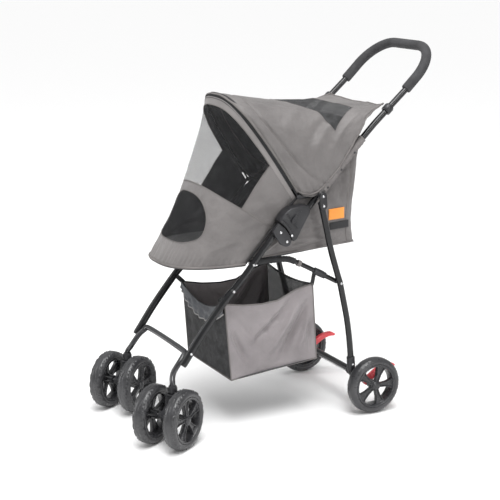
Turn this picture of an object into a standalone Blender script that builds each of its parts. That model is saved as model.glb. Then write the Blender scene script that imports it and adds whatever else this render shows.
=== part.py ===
"""A folding pet stroller: steel tube frame, fabric cabin with a canopy, a storage basket,
two twin-wheel front casters and two braked rear wheels.

Metres, +Z up.  The front of the stroller faces -Y, the handle is at +Y, and the pusher's left
is +X.  The origin is on the ground, at the centre of the box around the whole stroller.
Side-view places are written as (y, z) with y measured from the rear axle."""

import math

import bmesh
import bpy
from mathutils import Quaternion, Vector

# --- driving dimensions -------------------------------------------------------------------
MID_X = -0.0123          # the frame's middle plane, which the turned casters push off centre
REAR_AXLE_Y = 0.2230
WHEEL_R = 0.075
WHEEL_SIDES = 24
AXLE_Z = WHEEL_R * math.cos(math.pi / WHEEL_SIDES)   # a tyre's flat facet rests on the ground
AXLE_R = 0.004
BORE_R = 0.0047

SIDE_X = 0.148           # handle tube and front legs
HANDLE_X = 0.1455        # handle tube at the grip
LEG_X = 0.1675           # rear legs at the top
LEG_FOOT_X = 0.157       # rear legs at the bottom
TUBE_R = 0.008
SLEEVE_R = 0.0095
U_TUBE_R = 0.007

FOLD_PIVOT = (-0.248, 0.4775)
REAR_LEG_PIVOT = (-0.151, 0.5595)
LINK_FRONT_PIVOT = (-0.333, 0.425)
LINK_REAR_END = (-0.094, 0.354)
BRACKET_TOP = (-0.153, 0.584)

HANDLE_ANGLE = math.radians(46.6)
LOOP_R = 0.0923
LOOP_START = (0.1375, 0.8635)
FOAM_R = 0.0128
FOAM_BORE_R = 0.0092

BOW_PIVOT = (-0.200, 0.580)
BOW_ANGLE = math.radians(123)
BOW_X = 0.1335
BOW_RISE = 0.290
BOW_R = 0.0025
ARCH_POWER = 2.9

RIM_Z = 0.424
RIM_BACK_Y = -0.345
RIM_REACH = 0.181
RIM_POWER = 2.7
COVER_X = 0.134
COVER_SAG = 0.026
CLOTH = 0.002

TUB_X = 0.130
FLOOR_Z = 0.4345
BOARD_Z = 0.4515
BASKET_X = 0.128

KINGPIN_X = 0.146
KINGPIN_Y = -0.550
CASTER_TURN = math.radians(34)
CASTER_TRAIL = 0.022
TWIN_OFFSET = 0.043
FRONT_TYRE_W = 0.0355
REAR_WHEEL_X = 0.187
REAR_TYRE_W = 0.034

SIDES = (("left", 1), ("right", -1))

# --- the scene, its collections and materials ---------------------------------------------
for old in list(bpy.data.objects):
    bpy.data.objects.remove(old, do_unlink=True)

PARTS = bpy.data.collections.new("pet_stroller")
CUTTERS = bpy.data.collections.new("cutters")
bpy.context.scene.collection.children.link(PARTS)
bpy.context.scene.collection.children.link(CUTTERS)


def material(name, colour, roughness, metallic=0.0):
    made = bpy.data.materials.new(name)
    made.use_nodes = True
    shader = made.node_tree.nodes["Principled BSDF"]
    shader.inputs["Base Color"].default_value = (*colour, 1.0)
    shader.inputs["Roughness"].default_value = roughness
    shader.inputs["Metallic"].default_value = metallic
    return made


FRAME_BLACK = material("frame_black", (0.022, 0.022, 0.024), 0.35, 0.4)
FRAME_GREY = material("frame_grey", (0.06, 0.06, 0.062), 0.32, 0.5)
STEEL = material("steel", (0.60, 0.60, 0.60), 0.28, 1.0)
PLASTIC = material("black_plastic", (0.05, 0.05, 0.053), 0.5)
WHEEL_GREY = material("wheel_grey", (0.085, 0.083, 0.088), 0.42)
TYRE = material("tyre_rubber", (0.045, 0.045, 0.047), 0.6)
FOAM = material("grip_foam", (0.075, 0.075, 0.078), 0.85)
FABRIC = material("grey_fabric", (0.245, 0.225, 0.22), 0.8)
SATIN = material("basket_fabric", (0.36, 0.33, 0.34), 0.65)
BOARD = material("floor_board", (0.09, 0.09, 0.09), 0.8)
RED = material("pedal_red", (0.75, 0.06, 0.075), 0.4)


# --- helpers ------------------------------------------------------------------------------
def at(x, y, z):
    """A point given from the middle plane and the rear axle, in the stroller's frame."""
    return Vector((x + MID_X, y + REAR_AXLE_Y, z))


def flat(y, z):
    """The same for a side-view point."""
    return (y + REAR_AXLE_Y, z)


def joint(name, place):
    """An empty on a joint's axis, which the pieces that move with it are parented to."""
    empty = bpy.data.objects.new(name, None)
    empty.location = place
    empty.empty_display_size = 0.02
    PARTS.objects.link(empty)
    bpy.context.view_layer.update()
    return empty


def add(name, data, finish, parent=None, group=PARTS):
    piece = bpy.data.objects.new(name, data)
    group.objects.link(piece)
    if finish:
        data.materials.clear()
        data.materials.append(finish)
    if parent:
        piece.parent = parent
        piece.matrix_parent_inverse = parent.matrix_world.inverted()
    return piece


def smooth_path(points, steps):
    """Points on a Catmull-Rom curve through the given ones."""
    ends = [points[0] * 2 - points[1]] + list(points) + [points[-1] * 2 - points[-2]]
    path = []
    for i in range(1, len(ends) - 2):
        a, b, c, d = ends[i - 1:i + 3]
        for k in range(steps):
            t = k / steps
            path.append(0.5 * (2 * b + (c - a) * t + (2 * a - 5 * b + 4 * c - d) * t ** 2
                               + (3 * b - a - 3 * c + d) * t ** 3))
    return path + [points[-1]]


def tube(name, path, radius, finish, parent=None, capped=True):
    curve = bpy.data.curves.new(name, "CURVE")
    curve.dimensions = "3D"
    curve.bevel_depth = radius
    curve.bevel_resolution = 2
    curve.use_fill_caps = capped
    spline = curve.splines.new("POLY")
    spline.points.add(len(path) - 1)
    for point, place in zip(spline.points, path):
        point.co = (*place, 1.0)
    return add(name, curve, finish, parent)


def plate(name, outline, low, high, finish, parent=None, turn=math.pi / 2, place=None, group=PARTS):
    """A flat outline (forward, up), as thick as from low to high along the axis across it."""
    curve = bpy.data.curves.new(name, "CURVE")
    curve.dimensions = "2D"
    curve.fill_mode = "BOTH"
    curve.extrude = (high - low) / 2
    spline = curve.splines.new("POLY")
    spline.use_cyclic_u = True
    spline.points.add(len(outline) - 1)
    for point, (along, up) in zip(spline.points, outline):
        point.co = (along, up, 0, 1)
    piece = add(name, curve, finish, parent, group)
    middle = (low + high) / 2
    piece.rotation_euler = (math.pi / 2, 0, turn)
    piece.location = (place or Vector((MID_X, 0, 0))) + Vector(
        (math.sin(turn) * middle, -math.cos(turn) * middle, 0))
    return piece


def to_mesh(piece, merge=0.00001):
    """A closed mesh in place of a curve, so that it can be cut."""
    bpy.context.view_layer.update()
    shape = piece.evaluated_get(bpy.context.evaluated_depsgraph_get())
    mesh = bpy.data.meshes.new_from_object(shape)
    work = bmesh.new()
    work.from_mesh(mesh)
    bmesh.ops.remove_doubles(work, verts=work.verts, dist=merge)
    work.to_mesh(mesh)
    work.free()
    name, parent, group = piece.name, piece.parent, piece.users_collection[0]
    matrix, inverse, basis = (piece.matrix_world.copy(), piece.matrix_parent_inverse.copy(),
                              piece.matrix_basis.copy())
    old = piece.data
    bpy.data.objects.remove(piece, do_unlink=True)
    bpy.data.curves.remove(old)
    solid = bpy.data.objects.new(name, mesh)
    group.objects.link(solid)
    if parent:
        solid.parent = parent
        solid.matrix_parent_inverse = inverse
        solid.matrix_basis = basis
    else:
        solid.matrix_world = matrix
    return solid


def cylinder(name, start, end, radius, finish=None, parent=None, sides=16, group=PARTS):
    mesh = bpy.data.meshes.new(name)
    work = bmesh.new()
    bmesh.ops.create_cone(work, cap_ends=True, segments=sides, radius1=radius, radius2=radius,
                          depth=(end - start).length)
    work.to_mesh(mesh)
    work.free()
    mesh.shade_smooth()
    mesh.set_sharp_from_angle(angle=math.radians(40))
    piece = add(name, mesh, finish, parent, group)
    piece.rotation_euler = (end - start).to_track_quat("Z", "Y").to_euler()
    piece.location = (start + end) / 2
    return piece


def cutter(piece):
    for group in list(piece.users_collection):
        group.objects.unlink(piece)
    CUTTERS.objects.link(piece)
    piece.hide_render = True
    piece.display_type = "WIRE"
    return piece


def shape_with(piece, other, operation):
    step = piece.modifiers.new(operation.lower(), "BOOLEAN")
    step.operation = operation
    step.object = other
    return piece


def bore(piece, start, end, radius, sides=20):
    hole = cylinder(piece.name + "_bore", start, end, radius, sides=sides, group=CUTTERS)
    return shape_with(piece, cutter(hole), "DIFFERENCE")


def turned(name, profile, finish, steps=WHEEL_SIDES):
    """A ring turned about its own Z, from (radius, height) points down its outer side."""
    mesh = bpy.data.meshes.new(name)
    mesh.from_pydata([(r, 0, h) for r, h in profile],
                     [(i, (i + 1) % len(profile)) for i in range(len(profile))], [])
    piece = add(name, mesh, finish)
    spin = piece.modifiers.new("turn", "SCREW")
    spin.steps = spin.render_steps = steps
    spin.use_merge_vertices = True
    spin.merge_threshold = 0.00001
    spin.use_smooth_shade = True
    return piece


def ring(name, place, direction, inner, outer, length, finish, parent, steps=16):
    half = length / 2
    piece = turned(name, [(outer, half), (outer, -half), (inner, -half), (inner, half)],
                   finish, steps)
    piece.rotation_euler = direction.to_track_quat("Z", "Y").to_euler()
    piece.location = place
    piece.parent = parent
    if parent:
        piece.matrix_parent_inverse = parent.matrix_world.inverted()
    return piece


def arc(centre, radius, start, end, count):
    """Outline points on an arc, in degrees."""
    points = []
    for i in range(count + 1):
        angle = math.radians(start + (end - start) * i / count)
        points.append((centre[0] + radius * math.cos(angle), centre[1] + radius * math.sin(angle)))
    return points


def capsule(a, b, radius_a, radius_b):
    """The outline round two circles."""
    heading = math.degrees(math.atan2(b[1] - a[1], b[0] - a[0]))
    return (arc(a, radius_a, heading + 90, heading + 270, 8)
            + arc(b, radius_b, heading - 90, heading + 90, 8))


def super_arch(half_width, rise, power, count):
    """(x, height) along half a superellipse, from +half_width over the top to -half_width."""
    points = []
    for i in range(count + 1):
        angle = math.pi * i / count
        c, s = math.cos(angle), math.sin(angle)
        points.append((math.copysign(half_width * abs(c) ** (2 / power), c),
                       rise * max(s, 0) ** (2 / power)))
    return points


def shell(name, rows, finish, thickness=CLOTH):
    """An open surface through rows of points, thickened inwards."""
    mesh = bpy.data.meshes.new(name)
    across = len(rows[0])
    corners = [tuple(point) for row in rows for point in row]
    faces = []
    for r in range(len(rows) - 1):
        for c in range(across - 1):
            low = r * across + c
            faces.append((low, low + 1, low + across + 1, low + across))
    mesh.from_pydata(corners, [], faces)
    work = bmesh.new()
    work.from_mesh(mesh)
    bmesh.ops.recalc_face_normals(work, faces=work.faces)
    work.to_mesh(mesh)
    work.free()
    mesh.shade_smooth()
    piece = add(name, mesh, finish)
    wall = piece.modifiers.new("wall", "SOLIDIFY")
    wall.thickness = thickness
    wall.offset = 0
    return piece


def open_box(name, outline, inside, half_width, finish):
    """A fabric box: its side outline, hollowed by a second outline that runs out of the top."""
    piece = to_mesh(plate(name, outline, -half_width, half_width, finish))
    hollow = to_mesh(plate(name + "_hollow", inside, CLOTH - half_width, half_width - CLOTH, None))
    return shape_with(piece, cutter(hollow), "DIFFERENCE")


# --- the empties on the joint axes --------------------------------------------------------
upper_frame = joint("upper_frame", at(0, *FOLD_PIVOT))
rear_frame = joint("rear_frame", at(0, *REAR_LEG_PIVOT))
links = joint("links", at(0, *LINK_FRONT_PIVOT))
bow_hinge = joint("canopy_hinge", at(0, *BOW_PIVOT))


# --- front frame: legs, U-tube, fold brackets ---------------------------------------------
def front_legs():
    upper = [(-0.262, 0.508), (-0.304, 0.459), LINK_FRONT_PIVOT, (-0.363, 0.390), (-0.3855, 0.3665)]
    lower = [(-0.3860, 0.3659), (-0.407, 0.345), (-0.445, 0.300), (-0.481, 0.254), (-0.511, 0.211),
             (-0.524, 0.193)]
    for side, sign in SIDES:
        tube("front_leg_" + side, [at(sign * SIDE_X, *p) for p in upper], TUBE_R, FRAME_BLACK)
        tube("front_leg_sleeve_" + side, [at(sign * SIDE_X, *p) for p in lower], SLEEVE_R,
             FRAME_BLACK)


def front_u_frame():
    half = [(KINGPIN_X, KINGPIN_Y, 0.100), (KINGPIN_X, KINGPIN_Y, 0.143),
            (0.143, -0.549, 0.154), (0.135, -0.545, 0.165), (0.1305, -0.538, 0.178),
            (0.1290, -0.524, 0.196), (0.122, -0.510, 0.210), (0.105, -0.502, 0.217)]
    right = [at(-x, y, z) for x, y, z in half]
    left = [at(*p) for p in reversed(half)]
    tube("front_u_frame", smooth_path(right, 2) + smooth_path(left, 2), U_TUBE_R, FRAME_GREY)
    for side, sign in SIDES:
        ring("caster_socket_" + side, at(sign * KINGPIN_X, KINGPIN_Y, 0.1380), Vector((0, 0, 1)),
             0.0078, 0.0115, 0.018, PLASTIC, None)


def fold_brackets():
    outline = ([(-0.2697, 0.525), (-0.2864, 0.5066), (-0.281, 0.4958), (-0.264, 0.471)]
               + arc(FOLD_PIVOT, 0.0135, 235, 375, 6) + [(-0.2405, 0.494), (-0.2515, 0.510)])
    for side, sign in SIDES:
        low, high = sorted((sign * 0.1585, sign * 0.1665))
        bracket = to_mesh(plate("fold_bracket_" + side, [flat(*p) for p in outline], low, high,
                                PLASTIC))
        bore(bracket, at(sign * 0.15, *FOLD_PIVOT), at(sign * 0.17, *FOLD_PIVOT), 0.0038)
        cylinder("fold_pin_" + side, at(sign * 0.1345, *FOLD_PIVOT),
                 at(sign * 0.1690, *FOLD_PIVOT), 0.0034, STEEL, upper_frame)


# --- handle frame: tube, foam, collars, latch housings, brackets --------------------------
def handle_path():
    rising = [(SIDE_X, -0.209, 0.519), (SIDE_X, -0.173, 0.5565), (SIDE_X, -0.149, 0.583),
              (0.1475, -0.095, 0.641), (0.1465, -0.040, 0.699), (0.146, 0.010, 0.748),
              (HANDLE_X, 0.053, 0.786), (HANDLE_X, 0.103, 0.830), (HANDLE_X, *LOOP_START)]
    bend = []
    for i in range(1, 7):
        angle = math.radians(15 * i)
        along = LOOP_R * math.sin(angle)
        bend.append((HANDLE_X - LOOP_R * (1 - math.cos(angle)),
                     LOOP_START[0] + along * math.cos(HANDLE_ANGLE),
                     LOOP_START[1] + along * math.sin(HANDLE_ANGLE)))
    half = rising + bend
    return [at(*p) for p in half] + [at(-x, y, z) for x, y, z in reversed(half)]


def handle():
    path = handle_path()
    tube("handle_tube", path, TUBE_R, FRAME_BLACK, upper_frame)
    grip = to_mesh(tube("handle_foam", path[7:-7], FOAM_R, FOAM, upper_frame, capped=False))
    wall = grip.modifiers.new("wall", "SOLIDIFY")
    wall.thickness = FOAM_R - FOAM_BORE_R
    wall.offset = -1
    for side, sign in SIDES:
        ring("tube_collar_" + side, at(sign * HANDLE_X, 0.051, 0.7845),
             Vector((0, math.cos(math.radians(41.5)), math.sin(math.radians(41.5)))),
             0.0090, 0.0125, 0.020, PLASTIC, upper_frame)


def latch_housings():
    outline = [(-0.267, 0.5275), (-0.2495, 0.5125), (-0.2385, 0.4955), (-0.2320, 0.4785),
               (-0.2280, 0.4745), (-0.216, 0.482), (-0.202, 0.509), (-0.183, 0.540),
               (-0.180, 0.556), (-0.195, 0.5625), (-0.2335, 0.5594), (-0.254, 0.546)]
    for side, sign in SIDES:
        low, high = sorted((sign * 0.1355, sign * 0.1665))
        body = to_mesh(plate("latch_housing_" + side, [flat(*p) for p in outline], low, high,
                             PLASTIC, upper_frame))
        low, high = sorted((sign * 0.1358, sign * 0.1388))
        ear = to_mesh(plate("ear_" + side, [flat(*p) for p in capsule(
            FOLD_PIVOT, (-0.212, 0.510), 0.0105, 0.014)], low, high, None))
        shape_with(body, cutter(ear), "UNION")
        bore(body, at(sign * 0.13, *FOLD_PIVOT), at(sign * 0.1395, *FOLD_PIVOT), 0.0038)
        bore(body, at(sign * SIDE_X, -0.2097, 0.5183), at(sign * SIDE_X, -0.137, 0.594), 0.0092)
        catch = Vector((0, math.cos(HANDLE_ANGLE), math.sin(HANDLE_ANGLE)))
        low, high = sorted((sign * 0.1670, sign * 0.1725))
        place = Vector((-0.226, 0.533))
        rise = Vector((catch.y, catch.z)) * 0.007
        plate("fold_latch_" + side, [flat(*p) for p in capsule(
            place - rise, place + rise, 0.006, 0.006)], low, high, PLASTIC,
            joint("latch_" + side, at(sign * 0.17, *place)))


def rear_leg_brackets():
    for side, sign in SIDES:
        low, high = sorted((sign * 0.1765, sign * 0.1800))
        cap = to_mesh(plate("rear_leg_bracket_" + side, [flat(*p) for p in capsule(
            BRACKET_TOP, REAR_LEG_PIVOT, 0.0105, 0.0105)], low, high, PLASTIC, upper_frame))
        pin = cylinder("pin_" + side, at(sign * 0.1565, *REAR_LEG_PIVOT),
                       at(sign * 0.1780, *REAR_LEG_PIVOT), 0.0030, sides=12)
        spacer = cylinder("spacer_" + side, at(sign * 0.1565, *BRACKET_TOP),
                          at(sign * 0.1780, *BRACKET_TOP), 0.0050, sides=12)
        shape_with(cap, cutter(pin), "UNION")
        shape_with(cap, cutter(spacer), "UNION")


def canopy_clips():
    for side, sign in SIDES:
        low, high = sorted((sign * 0.1365, sign * 0.1397))
        plate("canopy_clip_" + side, [flat(*p) for p in capsule(
            (-0.151, 0.583), BOW_PIVOT, 0.0085, 0.0055)], low, high, PLASTIC, upper_frame)


# --- rear frame ---------------------------------------------------------------------------
def rear_legs():
    line = [(LEG_X, -0.153, 0.567), (LEG_X, *REAR_LEG_PIVOT), (LEG_X, -0.138, 0.508),
            (LEG_X, -0.122, 0.442), (LEG_X, -0.100, 0.372), (LEG_X, *LINK_REAR_END),
            (0.1655, -0.082, 0.307), (0.162, -0.068, 0.252), (0.159, -0.058, 0.197),
            (LEG_FOOT_X, -0.052, 0.1505)]
    for side, sign in SIDES:
        leg = to_mesh(tube("rear_leg_" + side, [at(sign * x, y, z) for x, y, z in line], TUBE_R,
                           FRAME_BLACK, rear_frame))
        bore(leg, at(sign * 0.15, *REAR_LEG_PIVOT), at(sign * 0.19, *REAR_LEG_PIVOT), 0.0034)
        cylinder("rear_leg_foot_" + side, at(sign * LEG_FOOT_X, -0.0520, 0.1500),
                 at(sign * LEG_FOOT_X, -0.0490, 0.1130), 0.0105, PLASTIC, rear_frame)


def rear_crossbar():
    half = [(LEG_FOOT_X, -0.0489, 0.1123), (LEG_FOOT_X, -0.0486, 0.1085), (0.155, -0.046, 0.1025),
            (0.148, -0.038, 0.0960), (0.136, -0.026, 0.0932), (0.120, -0.018, 0.093)]
    right = [at(-x, y, z) for x, y, z in half]
    left = [at(*p) for p in reversed(half)]
    tube("rear_crossbar", right + left, TUBE_R, FRAME_BLACK, rear_frame)
    cylinder("rear_axle", at(-0.2035, 0, AXLE_Z), at(0.2035, 0, AXLE_Z), AXLE_R, STEEL,
             rear_frame, 12)
    for side, sign in SIDES:
        low, high = sorted((sign * 0.098, sign * 0.114))
        mount = to_mesh(plate("axle_mount_" + side, [flat(*p) for p in capsule(
            (-0.018, 0.093), (0, AXLE_Z), 0.0130, 0.0100)], low, high, PLASTIC, rear_frame))
        bore(mount, at(sign * 0.09, -0.018, 0.093), at(sign * 0.12, -0.018, 0.093), 0.0090)
        bore(mount, at(sign * 0.09, 0, AXLE_Z), at(sign * 0.12, 0, AXLE_Z), BORE_R)


def brake_pedals():
    hub = (0, AXLE_Z)
    hook = [(0.024, 0.010), (0.044, 0.022), (0.062, 0.0285), (0.082, 0.0290), (0.0845, 0.0345),
            (0.070, 0.0405), (0.050, 0.0395), (0.030, 0.0310), (0.012, 0.0190)]
    outline = arc(hub, 0.0105, 120, 330, 10) + [(y, z + AXLE_Z) for y, z in hook]
    for side, sign in SIDES:
        axle = joint("brake_" + side, at(sign * 0.154, *hub))
        low, high = sorted((sign * 0.1465, sign * 0.1605))
        pedal = to_mesh(plate("brake_pedal_" + side, [flat(*p) for p in outline], low, high,
                              RED, axle))
        bore(pedal, at(sign * 0.14, *hub), at(sign * 0.17, *hub), BORE_R)


# --- links between the front and rear legs ------------------------------------------------
def link_bars():
    line = [(0.131, *LINK_FRONT_PIVOT), (0.131, -0.280, 0.4255), (0.132, -0.230, 0.424),
            (0.135, -0.200, 0.412), (0.141, -0.155, 0.388), (0.149, -0.110, 0.363),
            (0.1515, *LINK_REAR_END)]
    for side, sign in SIDES:
        tube("link_bar_" + side, [at(sign * x, y, z) for x, y, z in line], 0.006, FRAME_BLACK,
             links)


# --- wheels -------------------------------------------------------------------------------
def tyre_profile(width):
    half = width / 2
    inner = 0.0585
    return [(0.0650, half), (0.0720, half - 0.0030), (WHEEL_R, half - 0.0100),
            (WHEEL_R, 0.0100 - half), (0.0720, 0.0030 - half), (0.0650, -half),
            (inner, 0.0020 - half), (inner, half - 0.0020)]


def rim_mesh(width):
    half = width / 2 - 0.002
    profile = [(0.0580, half), (0.0580, -half), (0.0490, -half), (0.0490, half - 0.014),
               (0.0135, half - 0.012), (0.0135, -half), (BORE_R, -half), (BORE_R, half - 0.0005),
               (0.0135, half - 0.0005), (0.0490, half - 0.006), (0.0490, half)]
    rim = turned("rim_blank", profile, WHEEL_GREY)
    for i in range(5):
        middle = 72 * i + 90
        window = (arc((0, 0), 0.0465, middle - 22, middle + 22, 4)
                  + arc((0, 0), 0.0195, middle + 18, middle - 18, 2))
        hole = plate("window_%d" % i, window, -0.03, 0.03, None, place=Vector((0, 0, 0)))
        hole.rotation_euler = (0, 0, 0)
        hole.location = (0, 0, 0)
        shape_with(rim, cutter(to_mesh(hole)), "DIFFERENCE")
    bpy.context.view_layer.update()
    mesh = bpy.data.meshes.new_from_object(rim.evaluated_get(
        bpy.context.evaluated_depsgraph_get()))
    bpy.data.objects.remove(rim, do_unlink=True)
    return mesh


def wheel(name, centre, outward, rim, profile):
    """A rim and its tyre, with their shared axis on the axle and their face turned outward."""
    hub = joint(name, centre)
    turn = (outward.to_track_quat("Z", "Y")
            @ Quaternion((0, 0, 1), math.pi / WHEEL_SIDES)).to_euler()
    disc = add(name + "_rim", rim, WHEEL_GREY, hub)
    tread = turned(name + "_tyre", profile, TYRE)
    tread.parent = hub
    tread.matrix_parent_inverse = hub.matrix_world.inverted()
    for piece in (disc, tread):
        piece.location = centre
        piece.rotation_euler = turn


def rear_wheels():
    rim = rim_mesh(REAR_TYRE_W)
    for side, sign in SIDES:
        wheel("rear_wheel_" + side, at(sign * REAR_WHEEL_X, 0, AXLE_Z), Vector((sign, 0, 0)), rim,
              tyre_profile(REAR_TYRE_W))


def casters():
    rim = rim_mesh(FRONT_TYRE_W)
    axle = Vector((math.cos(CASTER_TURN), math.sin(CASTER_TURN), 0))
    roll = Vector((math.sin(CASTER_TURN), -math.cos(CASTER_TURN), 0))
    outline = ([(-0.0115, 0.1270), (-0.0115, 0.0920)]
               + arc((CASTER_TRAIL, AXLE_Z), 0.0150, 215, 420, 12)
               + [(0.0115, 0.1000), (0.0115, 0.1270)])
    for side, sign in SIDES:
        pin = at(sign * KINGPIN_X, KINGPIN_Y, 0)
        swivel = joint("caster_" + side, pin + Vector((0, 0, 0.11)))
        fork = to_mesh(plate("caster_fork_" + side, outline, -0.015, 0.015, PLASTIC, swivel,
                             CASTER_TURN - math.pi / 2, pin))
        bore(fork, pin + Vector((0, 0, 0.0985)), pin + Vector((0, 0, 0.14)), 0.0078)
        hub = pin + roll * CASTER_TRAIL + Vector((0, 0, AXLE_Z))
        bore(fork, hub - axle * 0.03, hub + axle * 0.03, BORE_R)
        cylinder("caster_axle_" + side, hub - axle * 0.0590, hub + axle * 0.0590, AXLE_R, STEEL,
                 swivel, 12)
        for end, way in (("outer", sign), ("inner", -sign)):
            wheel("caster_%s_%s" % (side, end), hub + axle * TWIN_OFFSET * way, axle * way, rim,
                  tyre_profile(FRONT_TYRE_W))


# --- cabin: floor, tub, front cover, canopy -----------------------------------------------
def rim_line(half_width, reach, z, count=20):
    """The cabin's front edge seen from above."""
    return [at(x, RIM_BACK_Y - depth, z)
            for x, depth in super_arch(half_width, reach, RIM_POWER, count)]


def arch_line(half_width, rise, shift, count=20, foot=0.0):
    """An arch in the bow's plane; shift moves it out of that plane, to the front."""
    line = []
    for x, height in super_arch(half_width, rise, ARCH_POWER, count):
        height = max(height, foot)
        line.append(at(x, BOW_PIVOT[0] + height * math.cos(BOW_ANGLE) - shift * math.sin(BOW_ANGLE),
                       BOW_PIVOT[1] + height * math.sin(BOW_ANGLE) + shift * math.cos(BOW_ANGLE)))
    return line


def cabin_floor():
    front = rim_line(0.1265, RIM_REACH - 0.018, 0.4385, 24)
    ends = [at(0.1365, -0.3165, 0.4385), at(0.1285, -0.3280, 0.4385)]
    far = [Vector((2 * MID_X - p.x, p.y, p.z)) for p in reversed(ends)]
    tube("cabin_floor_hoop", ends + front + far, BOW_R, FRAME_BLACK)
    outline = [(p.x, p.y) for p in rim_line(0.1245, RIM_REACH - 0.027, 0, 20)]
    outline += [(at(-0.1245, 0, 0).x, -0.046 + REAR_AXLE_Y), (at(0.1245, 0, 0).x,
                                                              -0.046 + REAR_AXLE_Y)]
    board = plate("cabin_floor_board", outline, BOARD_Z, BOARD_Z + 0.004, BOARD,
                  place=Vector((0, 0, 0)))
    board.rotation_euler = (0, 0, 0)
    board.location = (0, 0, BOARD_Z + 0.002)


def cabin_tub():
    rear = [(-0.029, 0.4490), (-0.0335, 0.510), (-0.0290, 0.580), (-0.0210, 0.650),
            (-0.0120, 0.735), (0.0300, 0.7750)]
    outline = ([(-0.306, FLOOR_Z), (-0.290, FLOOR_Z)] + rear
               + [(-0.215, 0.578), (-0.306, 0.470)])
    inside = ([(-0.330, FLOOR_Z + CLOTH), (-0.290, FLOOR_Z + CLOTH)]
              + [(y - CLOTH, z + (CLOTH if z < 0.5 else 0)) for y, z in rear]
              + [(0.040, 0.830), (-0.330, 0.830)])
    open_box("cabin_tub", [flat(*p) for p in outline], [flat(*p) for p in inside], TUB_X, FABRIC)


def front_cover():
    bottom = rim_line(COVER_X - CLOTH / 2, RIM_REACH, RIM_Z)
    top = arch_line(COVER_X - CLOTH / 2, BOW_RISE + 0.003, 0.006)
    rows = []
    for i in range(9):
        v = i / 8
        row = []
        for k, (low, high) in enumerate(zip(bottom, top)):
            point = low.lerp(high, v)
            point.y += COVER_SAG * 4 * v * (1 - v) * math.sin(math.pi * k / (len(top) - 1)) ** 2
            row.append(point)
        rows.append(row)
    shell("front_cover", rows, FABRIC)


def canopy():
    front = arch_line(0.1375, BOW_RISE + 0.0045, -0.004, foot=0.016)
    hem = [at(p.x - MID_X, 0.040, 0.7965 - 0.007 * (1 - ((p.x - MID_X) / 0.1375) ** 2))
           for p in front]
    hem = [Vector((MID_X + (p.x - MID_X) * 0.955, p.y, p.z)) for p in hem]
    rows = [[low.lerp(high, i / 8) for low, high in zip(front, hem)] for i in range(9)]
    piece = shell("canopy", rows, FABRIC)
    piece.parent = upper_frame
    piece.matrix_parent_inverse = upper_frame.matrix_world.inverted()
    tube("canopy_bow", arch_line(BOW_X, BOW_RISE, 0, 28), BOW_R, FRAME_BLACK, bow_hinge)


# --- storage basket -----------------------------------------------------------------------
def storage_basket():
    floor = [(-0.383, 0.130), (-0.139, 0.149)]
    rim = [(-0.146, 0.350), (-0.190, 0.340), (-0.240, 0.317), (-0.300, 0.312), (-0.402, 0.326)]
    inside = [(-0.381, 0.132), (-0.141, 0.151), (-0.148, 0.380), (-0.400, 0.380)]
    open_box("storage_basket", [flat(*p) for p in floor + rim], [flat(*p) for p in inside],
             BASKET_X, SATIN)


front_legs()
front_u_frame()
fold_brackets()
handle()
latch_housings()
rear_leg_brackets()
canopy_clips()
rear_legs()
rear_crossbar()
brake_pedals()
link_bars()
rear_wheels()
casters()
cabin_floor()
cabin_tub()
front_cover()
canopy()
storage_basket()
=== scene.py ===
# %% [markdown]
# # A folding pet stroller
# This notebook dresses the plain solids of a small pet stroller: a steel tube frame, a fabric
# cabin with net windows, a canopy, a storage basket, two twin casters and two braked wheels.
# The solids are loaded first. They never move, so they say where every visible piece belongs.

# %% Load the frame
import math

import bmesh
import bpy
from mathutils import Matrix, Vector, noise


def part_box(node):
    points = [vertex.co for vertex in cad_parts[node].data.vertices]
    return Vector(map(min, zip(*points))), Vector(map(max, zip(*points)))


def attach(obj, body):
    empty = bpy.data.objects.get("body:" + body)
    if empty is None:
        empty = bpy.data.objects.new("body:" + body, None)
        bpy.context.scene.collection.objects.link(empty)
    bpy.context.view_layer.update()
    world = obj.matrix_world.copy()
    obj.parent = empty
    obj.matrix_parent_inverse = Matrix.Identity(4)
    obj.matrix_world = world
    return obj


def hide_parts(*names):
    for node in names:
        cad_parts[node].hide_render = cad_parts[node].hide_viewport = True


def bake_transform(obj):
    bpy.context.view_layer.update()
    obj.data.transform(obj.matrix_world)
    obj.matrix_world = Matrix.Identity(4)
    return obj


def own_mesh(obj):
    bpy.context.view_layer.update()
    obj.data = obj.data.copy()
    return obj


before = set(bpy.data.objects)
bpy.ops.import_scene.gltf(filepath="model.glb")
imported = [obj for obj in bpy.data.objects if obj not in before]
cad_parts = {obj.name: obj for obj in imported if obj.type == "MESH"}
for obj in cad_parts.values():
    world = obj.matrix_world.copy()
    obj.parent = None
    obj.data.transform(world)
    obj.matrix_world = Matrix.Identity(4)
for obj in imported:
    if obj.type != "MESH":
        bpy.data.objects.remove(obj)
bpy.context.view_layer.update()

# %% [markdown]
# ## Where things are
# A stroller is symmetric about a plane, and everything else is easiest to measure from the rear
# axle. Both are read from the axle's own solid, so that nothing has to be typed twice. The front
# faces -Y, and the pusher's left is +X.

# %% Places measured from the rear axle
axle_low, axle_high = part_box("rear_axle")
MIDDLE = (axle_low + axle_high) / 2
AXLE_Z = MIDDLE.z
SIDES = (("left", 1), ("right", -1))


def at(x, y, z):
    """x from the middle plane, y from the rear axle, z from the ground."""
    return Vector((x + MIDDLE.x, y + MIDDLE.y, z))


print("rear axle %.3f m above the ground" % AXLE_Z)

# %% [markdown]
# ## Camera, floor and light
# A product is usually shown from a standing person's distance with a long lens, which keeps
# its sides nearly parallel. The floor is pale and much larger than the view, and the light
# comes from big soft panels, because small lamps would draw hard lines on black tube.

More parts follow.
